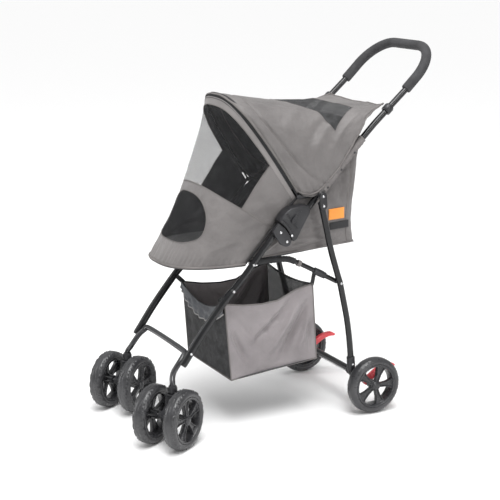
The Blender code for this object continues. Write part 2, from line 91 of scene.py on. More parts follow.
# %% Camera
AZIMUTH, ELEVATION = math.radians(62.78), math.radians(13.48)
CAMERA_PLACE = (2.899, -1.755, 1.204)
LENS = 93.9
back = Vector((math.sin(AZIMUTH) * math.cos(ELEVATION), -math.cos(AZIMUTH) * math.cos(ELEVATION),
               math.sin(ELEVATION)))
bpy.ops.object.camera_add(location=at(*CAMERA_PLACE))
camera = bpy.context.object
camera.rotation_euler = (-back).to_track_quat("-Z", "Y").to_euler()
camera.data.sensor_width = 36.0
camera.data.lens = LENS
bpy.context.scene.camera = camera
print("a %.1f mm lens, %.2f m away" % (LENS, camera.location.length))

# %% Floor
bpy.context.scene.view_settings.view_transform = "Standard"
bpy.ops.mesh.primitive_plane_add(size=90, location=(0, 0, -0.0006))
floor = bpy.context.object
floor.name = "studio_floor"
paint = bpy.data.materials.new("pale_floor")
paint.use_nodes = True
floor_shader = paint.node_tree.nodes["Principled BSDF"]
floor_shader.inputs["Base Color"].default_value = (0.96, 0.96, 0.96, 1)
floor_shader.inputs["Roughness"].default_value = 0.9
floor.data.materials.append(paint)
print("floor %.0f m wide" % floor.dimensions.x)


# %% Soft panels, daylight and sky
def soft_panel(name, place, target, width, height, power):
    """A rectangular lamp that looks at a point."""
    bpy.ops.object.light_add(type="AREA", location=place)
    lamp = bpy.context.object
    lamp.name = name
    lamp.data.shape = "RECTANGLE"
    lamp.data.size, lamp.data.size_y = width, height
    lamp.data.energy = power
    lamp.rotation_euler = (Vector(target) - Vector(place)).to_track_quat("-Z", "Y").to_euler()


CABIN_MIDDLE = (0, 0, 0.5)
SUN_PLACE = Vector((1.5, -0.6, 3.0))
soft_panel("top_panel", (0.3, -0.2, 3.2), CABIN_MIDDLE, 1.6, 1.6, 50)
soft_panel("front_panel", (-1.6, -3.4, 1.9), CABIN_MIDDLE, 0.6, 2.6, 32)
soft_panel("side_panel", (3.6, 0.9, 1.6), CABIN_MIDDLE, 0.35, 2.8, 30)
bpy.ops.object.light_add(type="SUN", location=SUN_PLACE)
daylight = bpy.context.object
daylight.name = "wide_daylight"
daylight.data.energy = 1.75
daylight.data.angle = math.radians(28)
daylight.rotation_euler = (-SUN_PLACE).to_track_quat("-Z", "Y").to_euler()
sky = bpy.data.worlds.new("studio_sky")
sky.use_nodes = True
sky.node_tree.nodes["Background"].inputs["Color"].default_value = (1, 1, 1, 1)
sky.node_tree.nodes["Background"].inputs["Strength"].default_value = 0.54
bpy.context.scene.world = sky
print("three panels, a wide sun and a white sky")

# %% [markdown]
# ## Finishes
# Painted tube, moulded plastic, rubber and foam all differ in the same few ways: how much the
# colour drifts over the piece, how fine and how deep the grain is, and how even the gloss is.
# One small recipe therefore makes them all from noise on object coordinates, in metres. The
# numbers that are the same all over a surface stay on the shader's own sockets.


# %% A recipe for grained finishes
DRIFT_SCALE = 22.0
SMEAR_SCALE = 70.0


def start_finish(name, roughness, metallic=0.0):
    finish = bpy.data.materials.new(name)
    finish.use_nodes = True
    nodes, links = finish.node_tree.nodes, finish.node_tree.links
    shader = nodes["Principled BSDF"]
    shader.inputs["Roughness"].default_value = roughness
    shader.inputs["Metallic"].default_value = metallic
    return finish, nodes, links, shader


def noise_of(nodes, links, source, scale, detail=3.0):
    texture = nodes.new("ShaderNodeTexNoise")
    texture.inputs["Scale"].default_value = scale
    texture.inputs["Detail"].default_value = detail
    links.new(source, texture.inputs["Vector"])
    return texture.outputs["Fac"]


def ramp_of(nodes, links, value, dark, light, low=0.35, high=0.65):
    ramp = nodes.new("ShaderNodeValToRGB")
    ramp.color_ramp.elements[0].position, ramp.color_ramp.elements[1].position = low, high
    ramp.color_ramp.elements[0].color = (*dark, 1)
    ramp.color_ramp.elements[1].color = (*light, 1)
    links.new(value, ramp.inputs["Fac"])
    return ramp.outputs["Color"]


def range_of(nodes, links, value, low, high, from_low=0.3, from_high=0.7):
    spread = nodes.new("ShaderNodeMapRange")
    for socket, number in (("From Min", from_low), ("From Max", from_high), ("To Min", low),
                           ("To Max", high)):
        spread.inputs[socket].default_value = number
    links.new(value, spread.inputs["Value"])
    return spread.outputs["Result"]


def bump_of(nodes, links, height, depth, strength=1.0, over=None):
    bump = nodes.new("ShaderNodeBump")
    bump.inputs["Distance"].default_value = depth
    bump.inputs["Strength"].default_value = strength
    links.new(height, bump.inputs["Height"])
    if over:
        links.new(over, bump.inputs["Normal"])
    return bump.outputs["Normal"]


def grained(name, dark, light, roughness, grain, depth, metallic=0.0, uneven=0.06, coat=0.0,
            gloss=0.5):
    """Slow colour drift, uneven gloss and a fine grain in the surface."""
    finish, nodes, links, shader = start_finish(name, roughness, metallic)
    place = nodes.new("ShaderNodeTexCoord").outputs["Object"]
    drift = noise_of(nodes, links, place, DRIFT_SCALE)
    links.new(ramp_of(nodes, links, drift, dark, light), shader.inputs["Base Color"])
    smear = noise_of(nodes, links, place, SMEAR_SCALE, 5.0)
    links.new(range_of(nodes, links, smear, roughness - uneven, roughness + uneven),
              shader.inputs["Roughness"])
    fine = noise_of(nodes, links, place, grain, 2.0)
    links.new(bump_of(nodes, links, fine, depth), shader.inputs["Normal"])
    shader.inputs["Specular IOR Level"].default_value = gloss
    shader.inputs["Coat Weight"].default_value = coat
    shader.inputs["Coat Roughness"].default_value = 0.25
    return finish


print("colour drifts over about %.0f mm" % (1000 / DRIFT_SCALE))

# %% Paint, plastic, rubber, foam and steel
black_paint = grained("satin_black_paint", (0.006, 0.006, 0.007), (0.012, 0.012, 0.013), 0.16,
                      1400, 0.00002, gloss=0.42)
grey_paint = grained("dark_grey_paint", (0.016, 0.016, 0.018), (0.028, 0.028, 0.031), 0.20,
                     1400, 0.00002, gloss=0.7)
black_plastic = grained("grained_black_plastic", (0.019, 0.019, 0.021), (0.032, 0.032, 0.035), 0.36,
                        1900, 0.00004, gloss=0.35)
wheel_plastic = grained("wheel_plastic", (0.018, 0.018, 0.020), (0.032, 0.032, 0.035), 0.27,
                        1500, 0.00003, gloss=0.5)
tyre_foam = grained("tyre_foam", (0.024, 0.024, 0.026), (0.040, 0.040, 0.043), 0.33,
                    1100, 0.00006, uneven=0.1, gloss=0.6)
grip_foam = grained("grip_foam", (0.030, 0.030, 0.032), (0.048, 0.048, 0.051), 0.80,
                    2600, 0.00025)
bright_steel = grained("zinc_plated_steel", (0.55, 0.55, 0.56), (0.70, 0.70, 0.71), 0.26,
                       900, 0.00002, metallic=1.0)
pedal_red = grained("pedal_red", (0.60, 0.030, 0.045), (0.74, 0.055, 0.07), 0.34, 1500, 0.00002,
                    coat=0.3)
black_tape = grained("black_binding_tape", (0.010, 0.010, 0.011), (0.020, 0.020, 0.022), 0.75,
                     2200, 0.00012)
grey_tape = grained("grey_binding_tape", (0.125, 0.115, 0.112), (0.165, 0.153, 0.148), 0.8,
                    2200, 0.00012)
pale_elastic = grained("pale_elastic", (0.30, 0.29, 0.285), (0.42, 0.405, 0.40), 0.8, 2200,
                       0.00012)
sleeve_cloth = grained("gathered_grey_cloth", (0.120, 0.110, 0.108), (0.175, 0.163, 0.160), 0.8,
                       2200, 0.00020)
print("grained finishes:", len(bpy.data.materials))

# %% [markdown]
# ## Cloth and net
# Woven cloth is two sets of threads that cross, so its height is two waves at right angles.
# They follow the piece's own map, which is laid out in metres like the flat cut, so the threads
# bend with the cloth. A slow noise on top gives the soft puckers that no cutting pattern
# removes. Net is the same two waves used the other way: where both are low there is a hole.


# %% Recipes for cloth and net
WAVE_PERIOD = 0.314


def thread_waves(nodes, links, thread):
    """Two crossing waves. At scale 1 a wave repeats every WAVE_PERIOD, so scale sets the pitch."""
    chart = nodes.new("ShaderNodeUVMap")
    chart.uv_map = "UVMap"
    waves = []
    for direction in ("X", "Y"):
        wave = nodes.new("ShaderNodeTexWave")
        wave.bands_direction = direction
        wave.inputs["Scale"].default_value = WAVE_PERIOD / thread
        links.new(chart.outputs["UV"], wave.inputs["Vector"])
        waves.append(wave.outputs["Fac"])
    return waves


def joined(nodes, links, operation, first, second):
    step = nodes.new("ShaderNodeMath")
    step.operation = operation
    links.new(first, step.inputs[0])
    links.new(second, step.inputs[1])
    return step.outputs[0]


def woven(name, dark, light, roughness, thread, pucker, sheen=0.15):
    finish, nodes, links, shader = start_finish(name, roughness)
    place = nodes.new("ShaderNodeTexCoord").outputs["Object"]
    across, along = thread_waves(nodes, links, thread)
    weave = joined(nodes, links, "MAXIMUM", across, along)
    soft = noise_of(nodes, links, place, 34.0, 4.0)
    creased = bump_of(nodes, links, soft, pucker)
    links.new(bump_of(nodes, links, weave, 0.00010, 0.7, creased), shader.inputs["Normal"])
    drift = joined(nodes, links, "MULTIPLY", noise_of(nodes, links, place, 9.0, 5.0),
                   range_of(nodes, links, weave, 0.85, 1.08, 0.3, 1.0))
    links.new(ramp_of(nodes, links, drift, dark, light, 0.3, 0.7), shader.inputs["Base Color"])
    links.new(range_of(nodes, links, soft, roughness - 0.06, roughness + 0.06),
              shader.inputs["Roughness"])
    shader.inputs["Sheen Weight"].default_value = sheen
    shader.inputs["Sheen Roughness"].default_value = 0.5
    return finish


def netting(name, dark, light, pitch, open_from, open_to):
    """Black net: threads where either wave is high, holes where both are low."""
    finish, nodes, links, shader = start_finish(name, 0.75)
    across, along = thread_waves(nodes, links, pitch)
    thread = joined(nodes, links, "MAXIMUM", across, along)
    links.new(range_of(nodes, links, thread, 0.0, 1.0, open_from, open_to),
              shader.inputs["Alpha"])
    place = nodes.new("ShaderNodeTexCoord").outputs["Object"]
    links.new(ramp_of(nodes, links, noise_of(nodes, links, place, 60.0), dark, light),
              shader.inputs["Base Color"])
    links.new(bump_of(nodes, links, thread, 0.0002), shader.inputs["Normal"])
    return finish


print("a wave of scale %.0f has a 0.6 mm thread" % (WAVE_PERIOD / 0.0006))

# %% The stroller's cloths and nets
cabin_cloth = woven("warm_grey_cloth", (0.106, 0.098, 0.096), (0.164, 0.153, 0.150), 0.58, 0.0006,
                    0.0048)
band_cloth = woven("pale_band_cloth", (0.165, 0.154, 0.151), (0.225, 0.211, 0.207), 0.7, 0.0006,
                   0.001)
black_cloth = woven("black_zip_cloth", (0.008, 0.008, 0.009), (0.018, 0.018, 0.020), 0.8, 0.0006,
                    0.0005)
basket_satin = woven("basket_satin", (0.175, 0.158, 0.162), (0.275, 0.250, 0.256), 0.42, 0.0004,
                     0.0034, sheen=0.2)
lining_cloth = woven("dark_lining", (0.030, 0.030, 0.033), (0.055, 0.055, 0.059), 0.85, 0.0008,
                     0.002)
insert_cloth = woven("blue_grey_cloth", (0.060, 0.064, 0.072), (0.105, 0.110, 0.120), 0.8, 0.0006,
                     0.003)
orange_cloth = woven("orange_patch", (0.72, 0.24, 0.035), (0.88, 0.33, 0.05), 0.6, 0.0005, 0.0005)
window_net = netting("window_net", (0.010, 0.010, 0.011), (0.028, 0.028, 0.030), 0.0016, 0.78,
                     0.98)
close_net = netting("close_net", (0.014, 0.014, 0.015), (0.040, 0.040, 0.042), 0.0012, 0.0, 0.20)
NETS = (window_net, close_net)
print("finishes:", ", ".join(finish.name for finish in bpy.data.materials))

# %% [markdown]
# ## Helpers for hard pieces
# Three shapes cover the frame. A bent tube is a drawn path with a round section. A plate is a
# disc whose corners are moved to the outline, drawn out sideways and bevelled. A turned ring is
# a profile spun about an axis. Each helper leaves the piece at its place, and a last step
# applies that place, gives the finish, and says which body of the frame carries the piece.


# %% Select, finish and hand over a piece
def only(piece):
    """Deselects everything else and makes this piece the active one."""
    bpy.ops.object.select_all(action="DESELECT")
    piece.select_set(True)
    bpy.context.view_layer.objects.active = piece


def edit(piece):
    only(piece)
    bpy.ops.object.mode_set(mode="EDIT")
    bpy.ops.mesh.select_all(action="SELECT")


def close_mesh(piece):
    """Merges corners that lie on each other and turns every face outwards."""
    edit(piece)
    bpy.ops.mesh.remove_doubles(threshold=0.00001)
    bpy.ops.mesh.normals_make_consistent(inside=False)
    bpy.ops.object.mode_set(mode="OBJECT")


def apply_steps(piece):
    only(piece)
    for step in list(piece.modifiers):
        bpy.ops.object.modifier_apply(modifier=step.name)


def round_edges(piece, width, segments=2, angle=35):
    step = piece.modifiers.new("rounded", "BEVEL")
    step.width, step.segments = width, segments
    step.limit_method, step.angle_limit = "ANGLE", math.radians(angle)
    step.use_clamp_overlap = True
    apply_steps(piece)


def smooth(piece, angle=38):
    only(piece)
    bpy.ops.object.shade_smooth_by_angle(angle=math.radians(angle))


def name_and_finish(piece, name, finish):
    piece.name = piece.data.name = name
    piece.data.materials.clear()
    piece.data.materials.append(finish)


def hand_over(piece, name, finish, body, stands_for=(), angle=38):
    """The last step for every hard piece."""
    apply_steps(piece)
    bpy.ops.object.transform_apply(location=True, rotation=True, scale=True)
    name_and_finish(piece, name, finish)
    if angle:
        smooth(piece, angle)
    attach(piece, body)
    if stands_for:
        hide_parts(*stands_for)
    print("%s rides on %s" % (name, body))


def copied(pattern, place):
    """A copy with its own mesh, moved to its place."""
    copy = bpy.data.objects.new("copy_of_" + pattern.name, pattern.data.copy())
    bpy.context.scene.collection.objects.link(copy)
    copy.data.transform(place)
    return copy


def join(pieces):
    bpy.ops.object.select_all(action="DESELECT")
    for piece in pieces:
        piece.select_set(True)
    bpy.context.view_layer.objects.active = pieces[0]
    bpy.ops.object.join()
    return pieces[0]


# %% Bent tubes
def curved(points, steps=5):
    """A Catmull-Rom line through the points."""
    points = [Vector(p) for p in points]
    ends = [points[0] * 2 - points[1]] + points + [points[-1] * 2 - points[-2]]
    line = []
    for i in range(1, len(ends) - 2):
        a, b, c, d = ends[i - 1:i + 3]
        for k in range(steps):
            t = k / steps
            line.append(0.5 * (2 * b + (c - a) * t + (2 * a - 5 * b + 4 * c - d) * t ** 2
                               + (3 * b - a - 3 * c + d) * t ** 3))
    return line + [points[-1]]


def bent_tube(path, radius, sides=4, radii=None):
    bpy.ops.curve.primitive_nurbs_path_add()
    drawn = bpy.context.object
    line = drawn.data
    line.splines.clear()
    spline = line.splines.new("POLY")
    spline.points.add(len(path) - 1)
    for i, place in enumerate(path):
        spline.points[i].co = (*place, 1)
        spline.points[i].radius = radii[i] if radii else 1.0
    drawn.location = (0, 0, 0)
    line.bevel_depth, line.bevel_resolution, line.use_fill_caps = radius, sides, True
    only(drawn)
    bpy.ops.object.convert(target="MESH")
    tube = bpy.context.object
    close_mesh(tube)
    return tube


print("a bend through 3 points gets", len(curved([(0, 0, 0), (1, 0, 0), (1, 1, 0)])), "places")


# %% Plates and turned rings
def drawn_out(corners, push):
    """A disc whose corners are moved to an outline and drawn out into a solid."""
    bpy.ops.mesh.primitive_circle_add(vertices=len(corners), radius=0.05, fill_type="NGON")
    piece = bpy.context.object
    piece.location = (0, 0, 0)
    for corner, place in zip(piece.data.vertices, corners):
        corner.co = place
    edit(piece)
    bpy.ops.mesh.extrude_region_move(TRANSFORM_OT_translate={"value": push})
    bpy.ops.mesh.select_all(action="SELECT")
    bpy.ops.mesh.normals_make_consistent(inside=False)
    bpy.ops.mesh.select_all(action="DESELECT")
    bpy.ops.object.mode_set(mode="OBJECT")
    return piece


def plate(outline, low, high, rounding=0.001, segments=2, turn=None):
    """A side-view outline (y, z), thick from x low to x high."""
    piece = drawn_out([(low, y, z) for y, z in outline], (high - low, 0, 0))
    piece.data.transform(turn or Matrix.Translation(at(0, 0, 0)))
    round_edges(piece, rounding, segments)
    return piece


def arc(centre, radius, start, end, count=8):
    return [(centre[0] + radius * math.cos(math.radians(start + (end - start) * i / count)),
             centre[1] + radius * math.sin(math.radians(start + (end - start) * i / count)))
            for i in range(count + 1)]


def capsule(a, b, radius_a, radius_b):
    """The outline round two circles."""
    heading = math.degrees(math.atan2(b[1] - a[1], b[0] - a[0]))
    return (arc(a, radius_a, heading + 90, heading + 270)
            + arc(b, radius_b, heading - 90, heading + 90))


def turned(profile, centre, axis, steps=64):
    """A closed (radius, along) profile spun about an axis."""
    bpy.ops.mesh.primitive_circle_add(vertices=len(profile), radius=0.05, fill_type="NOTHING")
    ring = bpy.context.object
    ring.location = (0, 0, 0)
    for corner, (radius, along) in zip(ring.data.vertices, profile):
        corner.co = (radius, 0, along)
    edit(ring)
    bpy.ops.mesh.spin(steps=steps, angle=2 * math.pi, center=(0, 0, 0), axis=(0, 0, 1))
    bpy.ops.object.mode_set(mode="OBJECT")
    close_mesh(ring)
    turn = Vector(axis).to_track_quat("Z", "Y").to_matrix().to_4x4()
    ring.data.transform(Matrix.Translation(centre) @ turn)
    return ring


def dome(radius, height):
    """The profile of a rivet's or a snap's head."""
    rim = [(radius * math.cos(math.radians(a)), height * math.sin(math.radians(a)))
           for a in range(15, 90, 15)]
    return [(0, 0), (radius, 0)] + rim + [(0, height)]


print("a rivet's head has", len(dome(0.0034, 0.0018)), "places in its profile")


# %% [markdown]
# ## Front legs and the U-shaped fork tube
# Each front leg is one painted steel tube that slides into a slightly wider sleeve and is
# riveted there. One more tube, bent like a U lying down, carries both casters and ties the legs
# together. A drawn path with a round section is how a tube bender thinks of them too.

# %% Front legs
LEG_X = 0.148
leg_upper = [(-0.262, 0.508), (-0.304, 0.459), (-0.333, 0.425), (-0.363, 0.390), (-0.3855, 0.3665)]
leg_lower = [(-0.3860, 0.3659), (-0.407, 0.345), (-0.445, 0.300), (-0.481, 0.254),
             (-0.511, 0.211), (-0.524, 0.193)]
for side, sign in SIDES:
    upper = bent_tube(curved([at(sign * LEG_X, *p) for p in leg_upper]), 0.008, 5)
    hand_over(upper, "front_leg_tube_" + side, black_paint, "front_frame",
              ["front_leg_" + side])
    line = curved([at(sign * LEG_X, *p) for p in leg_lower])
    lower = bent_tube(line, 0.0095, 5, [0.93] + [1.0] * (len(line) - 3) + [0.97, 0.85])
    hand_over(lower, "front_leg_lower_" + side, black_paint, "front_frame",
              ["front_leg_sleeve_" + side])

# %% The fork tube that carries the casters
CASTER_X, CASTER_Y = 0.146, -0.550
half = [(CASTER_X, CASTER_Y, 0.100), (CASTER_X, CASTER_Y, 0.143), (0.143, -0.549, 0.154),
        (0.135, -0.545, 0.165), (0.1305, -0.538, 0.178), (0.1290, -0.524, 0.196),
        (0.122, -0.510, 0.210), (0.105, -0.502, 0.217)]
path = [at(-x, y, z) for x, y, z in half] + [at(*p) for p in reversed(half)]
fork_tube = bent_tube(curved(path), 0.007, 5)
hand_over(fork_tube, "front_fork_tube", grey_paint, "front_frame", ["front_u_frame"])
for side, sign in SIDES:
    socket = turned([(0.0077, -0.009), (0.0105, -0.009), (0.0115, -0.0075), (0.0115, 0.003),
                     (0.0098, 0.0075), (0.0092, 0.009), (0.0077, 0.009)],
                    at(sign * CASTER_X, CASTER_Y, 0.138), (0, 0, 1), 40)
    hand_over(socket, "caster_collar_" + side, black_plastic, "front_frame",
              ["caster_socket_" + side])
print("front frame ready")

# %% [markdown]
# ## Handle frame
# The handle is one long tube bent at the top, with a foam sleeve pushed over the bend. Foam has
# no shine and a torn-off, fine-pored surface, so its roughness is high and its grain deep. Two
# plastic collars stop the canopy from sliding up.

# %% Handle tube, grip and collars
HANDLE_LEAN = math.radians(46.6)
BEND_RADIUS = 0.0923
BEND_STEPS = 14
rising = [(LEG_X, -0.209, 0.519), (LEG_X, -0.173, 0.5565), (LEG_X, -0.149, 0.583),
          (0.1475, -0.095, 0.641), (0.1465, -0.040, 0.699), (0.146, 0.010, 0.748),
          (0.1455, 0.053, 0.786), (0.1455, 0.103, 0.830), (0.1455, 0.1375, 0.8635)]
bend_x, bend_y, bend_z = rising[-1]
bend = []
for i in range(1, BEND_STEPS + 1):
    corner = math.radians(90 * i / BEND_STEPS)
    run = BEND_RADIUS * math.sin(corner)
    bend.append((bend_x - BEND_RADIUS * (1 - math.cos(corner)),
                 bend_y + run * math.cos(HANDLE_LEAN), bend_z + run * math.sin(HANDLE_LEAN)))


def straight(shares):
    """Places on the last straight length of the handle, as shares of its length."""
    start, end = Vector(rising[-2]), Vector(rising[-1])
    return [tuple(start.lerp(end, share)) for share in shares]


def whole(half):
    """The left half of a path and its mirror image."""
    return [at(*p) for p in half] + [at(-x, y, z) for x, y, z in reversed(half)]


path = whole(rising[:-1] + straight((0.35, 0.7)) + [rising[-1]] + bend)
handle = bent_tube(path, 0.008, 6)
hand_over(handle, "handle_bar", black_paint, "upper_frame", ["handle_tube"])
path = whole(straight((0.0, 0.02, 0.06, 0.35, 0.7)) + [rising[-1]] + bend)
swell = [0.72, 0.93, 1.0] + [1.0] * (len(path) - 6) + [1.0, 0.93, 0.72]
grip = bent_tube(path, 0.0128, 8, swell)
hand_over(grip, "foam_grip", grip_foam, "upper_frame", ["handle_foam"])
slope = Vector((0, math.cos(math.radians(41.5)), math.sin(math.radians(41.5))))
for side, sign in SIDES:
    collar = turned([(0.0086, -0.010), (0.0118, -0.010), (0.0125, -0.009), (0.0125, 0.006),
                     (0.0105, 0.0098), (0.0086, 0.010)],
                    at(sign * 0.1455, 0.051, 0.7845), slope, 40)
    hand_over(collar, "canopy_stop_" + side, black_plastic, "upper_frame",
              ["tube_collar_" + side])
print("handle ready")

# %% [markdown]
# ## Fold hinge and latch
# The plate at the foot of the handle is where the stroller folds. On the real one a moulded
# housing holds the handle tube, turns on a pin in a plate on the front leg, and is locked by a
# sliding catch. Each part is an outline drawn out sideways, with thumb-soft moulded edges, and
# shallow ribs say that it is moulded and not milled.

# %% Outlines of the housing and the leg plate, and the place of the fold pin
FOLD = (-0.248, 0.4775)
housing = [(-0.267, 0.5275), (-0.2495, 0.5125), (-0.2385, 0.4955), (-0.2320, 0.4785),
           (-0.2280, 0.4745), (-0.2190, 0.4785), (-0.2110, 0.492), (-0.202, 0.509),
           (-0.192, 0.525), (-0.183, 0.540), (-0.180, 0.549), (-0.181, 0.557),
           (-0.187, 0.5615), (-0.197, 0.5630), (-0.215, 0.5618), (-0.2335, 0.5594),
           (-0.246, 0.5530), (-0.256, 0.5440), (-0.264, 0.5350)]
leg_plate = ([(-0.2697, 0.525), (-0.2864, 0.5066), (-0.281, 0.4958), (-0.264, 0.471)]
             + arc(FOLD, 0.0135, 235, 375, 10) + [(-0.2405, 0.494), (-0.2515, 0.510)])
print("the housing's outline has %d corners, the leg plate's %d" % (len(housing), len(leg_plate)))

# %% Housings, leg plates and catches
for side, sign in SIDES:
    body = plate(housing, sign * 0.1355, sign * 0.1665, 0.0035, 3)
    ribs = []
    for shift in (0.000, 0.012):
        rib = [(-0.2600 + shift, 0.5350 + shift * 0.9), (-0.2420 + shift, 0.5160 + shift * 0.9),
               (-0.2290 + shift, 0.4960 + shift * 0.9)]
        ribs.append(bent_tube(curved([at(sign * 0.1662, *p) for p in rib]), 0.0022, 3))
    slot = [(-0.2330, 0.5380), (-0.2250, 0.5290), (-0.2060, 0.5470), (-0.2140, 0.5560)]
    ribs.append(plate(slot, sign * 0.1660, sign * 0.1676, 0.0006))
    hand_over(join([body] + ribs), "hinge_housing_" + side, black_plastic, "upper_frame",
              ["latch_housing_" + side])
    hand_over(plate(leg_plate, sign * 0.1585, sign * 0.1668, 0.0015, 3), "hinge_plate_" + side,
              black_plastic, "front_frame", ["fold_bracket_" + side])
    middle = Vector((-0.226, 0.533))
    run = Vector((math.cos(HANDLE_LEAN), math.sin(HANDLE_LEAN)))
    catch = plate(capsule(middle - run * 0.007, middle + run * 0.007, 0.006, 0.006),
                  sign * 0.1678, sign * 0.1722, 0.0012)
    grips = []
    for step in (-0.006, -0.002, 0.002, 0.006):
        centre = middle + run * step
        across = Vector((-run.y, run.x)) * 0.0038
        grips.append(bent_tube([at(sign * 0.1722, *(centre - across)),
                                at(sign * 0.1722, *(centre + across))], 0.0007, 2))
    hand_over(join([catch] + grips), "fold_catch_" + side, black_plastic, "latch_" + side,
              ["fold_latch_" + side])

# %% Brackets that hold the rear legs, and clips for the canopy bow
HANGER_TOP, HANGER_LOW = (-0.153, 0.584), (-0.151, 0.5595)


def rod(radius, length, place, outward):
    """A plain round pin that points outwards."""
    return turned([(0, 0), (radius, 0), (radius, length), (0, length)], place, (outward, 0, 0), 20)


for side, sign in SIDES:
    cap = plate(capsule(HANGER_TOP, HANGER_LOW, 0.0105, 0.0105), sign * 0.1765, sign * 0.1805,
                0.0016, 3)
    pins = [rod(0.0030, 0.021, at(sign * 0.1565, *HANGER_LOW), sign),
            rod(0.0050, 0.021, at(sign * 0.1565, *HANGER_TOP), sign)]
    hand_over(join([cap] + pins), "leg_hanger_" + side, black_plastic, "upper_frame",
              ["rear_leg_bracket_" + side])
    clip = plate(capsule((-0.151, 0.583), (-0.200, 0.580), 0.0085, 0.0055), sign * 0.1365,
                 sign * 0.1397, 0.0010)
    hand_over(clip, "bow_clip_" + side, black_plastic, "upper_frame",
              ["canopy_clip_" + side])

# %% [markdown]
# ## Rear legs, crossbar, axle and brake pedals
# The rear legs bow gently, as bent tube does, and end in plastic boots on a crossbar. A thin
# bright axle runs below it. The red pedals are hooked levers: a foot presses the hook down to
# wedge the wheel, and lifts it from below to let go.

# %% Rear legs and crossbar
leg_line = [(0.1675, -0.153, 0.567), (0.1675, -0.151, 0.5595), (0.1675, -0.138, 0.508),
            (0.1675, -0.122, 0.442), (0.1675, -0.100, 0.372), (0.1675, -0.094, 0.354),
            (0.1655, -0.082, 0.307), (0.162, -0.068, 0.252), (0.159, -0.058, 0.197),
            (0.157, -0.052, 0.1505)]
bar_half = [(0.157, -0.0489, 0.1123), (0.157, -0.0486, 0.1085), (0.155, -0.046, 0.1025),
            (0.148, -0.038, 0.0960), (0.136, -0.026, 0.0932), (0.120, -0.018, 0.093)]
for side, sign in SIDES:
    leg = bent_tube(curved([at(sign * x, y, z) for x, y, z in leg_line]), 0.008, 5)
    hand_over(leg, "rear_leg_tube_" + side, black_paint, "rear_frame",
              ["rear_leg_" + side])
    boot = turned([(0, 0), (0.0098, 0), (0.0107, 0.0012), (0.0107, 0.026), (0.0101, 0.028),
                   (0.0107, 0.030), (0.0107, 0.0350), (0.0098, 0.0368), (0, 0.0368)],
                  at(sign * 0.157, -0.0490, 0.1130), (0, -0.0030, 0.037), 36)
    hand_over(boot, "leg_boot_" + side, black_plastic, "rear_frame",
              ["rear_leg_foot_" + side])
path = [at(-x, y, z) for x, y, z in bar_half] + [at(*p) for p in reversed(bar_half)]
hand_over(bent_tube(curved(path), 0.008, 5), "rear_cross_tube", black_paint, "rear_frame",
          ["rear_crossbar"])
axle = turned([(0, -0.2035), (0.0030, -0.2035), (0.0039, -0.2025), (0.0039, 0.2025),
               (0.0030, 0.2035), (0, 0.2035)], at(0, 0, AXLE_Z), (1, 0, 0), 24)
hand_over(axle, "wheel_axle", bright_steel, "rear_frame", ["rear_axle"])
for side, sign in SIDES:
    hanger = plate(capsule((-0.018, 0.093), (0, AXLE_Z), 0.0130, 0.0100), sign * 0.098,
                   sign * 0.114, 0.002, 3)
    hand_over(hanger, "axle_hanger_" + side, black_plastic, "rear_frame",
              ["axle_mount_" + side])

# %% Brake pedals
hook = [(0.024, 0.010), (0.034, 0.0165), (0.044, 0.022), (0.053, 0.0262), (0.062, 0.0285),
        (0.072, 0.0292), (0.082, 0.0290), (0.0850, 0.0315), (0.0838, 0.0350), (0.078, 0.0385),
        (0.070, 0.0405), (0.060, 0.0405), (0.050, 0.0392), (0.040, 0.0358), (0.030, 0.0310),
        (0.021, 0.0255), (0.012, 0.0190)]
rib_line = [(0.006, 0.004), (0.022, 0.0175), (0.045, 0.0300), (0.070, 0.0345)]
tread_bars = [(0.060, 0.0405), (0.066, 0.0407), (0.072, 0.0401)]
for side, sign in SIDES:
    outline = arc((0, AXLE_Z), 0.0105, 120, 330, 14) + [(y, z + AXLE_Z) for y, z in hook]
    lever = plate(outline, sign * 0.1468, sign * 0.1602, 0.0022, 3)
    rib = bent_tube(curved([at(sign * 0.1600, y, z + AXLE_Z) for y, z in rib_line]), 0.0016, 3)
    tread = [bent_tube([at(sign * 0.1478, y, AXLE_Z + z), at(sign * 0.1592, y, AXLE_Z + z)],
                       0.0009, 2) for y, z in tread_bars]
    hand_over(join([lever, rib] + tread), "foot_brake_" + side, pedal_red, "brake_" + side,
              ["brake_pedal_" + side])

# %% [markdown]
# ## Links
# A link runs from each front leg to the rear leg and makes the two fold together. Its front half
# is wrapped in the basket's fabric sleeve, with a black collar where the wrap ends.

# %% Link bars, their wraps and collars
link_line = [(0.131, -0.333, 0.425), (0.131, -0.280, 0.4255), (0.132, -0.230, 0.424),
             (0.135, -0.200, 0.412), (0.141, -0.155, 0.388), (0.149, -0.110, 0.363),
             (0.1515, -0.094, 0.354)]
for side, sign in SIDES:
    line = curved([at(sign * x, y, z) for x, y, z in link_line])
    hand_over(bent_tube(line, 0.006, 5), "link_tube_" + side, black_paint, "links",
              ["link_bar_" + side])
    wrap = curved(line[2:15], 3)
    gathers = [1.0 + 0.09 * math.sin(2.4 * i) for i in range(len(wrap))]
    hand_over(bent_tube(wrap, 0.0078, 5, gathers), "link_wrap_" + side, black_tape, "links")
    hand_over(bent_tube(line[15:17], 0.0082, 5), "link_strap_" + side, grey_tape, "links")
    collar = bent_tube(line[20:24], 0.0092, 5, [0.92, 1.0, 1.0, 0.9])
    hand_over(collar, "link_collar_" + side, black_plastic, "links")

# %% [markdown]
# ## Rivets and pins
# The bright heads on the black tube are small, but they are what the eye reads as hardware.
# One domed profile is spun for each, at every joint that the frame really has.

# %% Rivet heads and fold pins
def rivet(x, y, z, outward):
    return turned(dome(0.0034, 0.0018), at(x, y, z), (outward, 0, 0), 20)


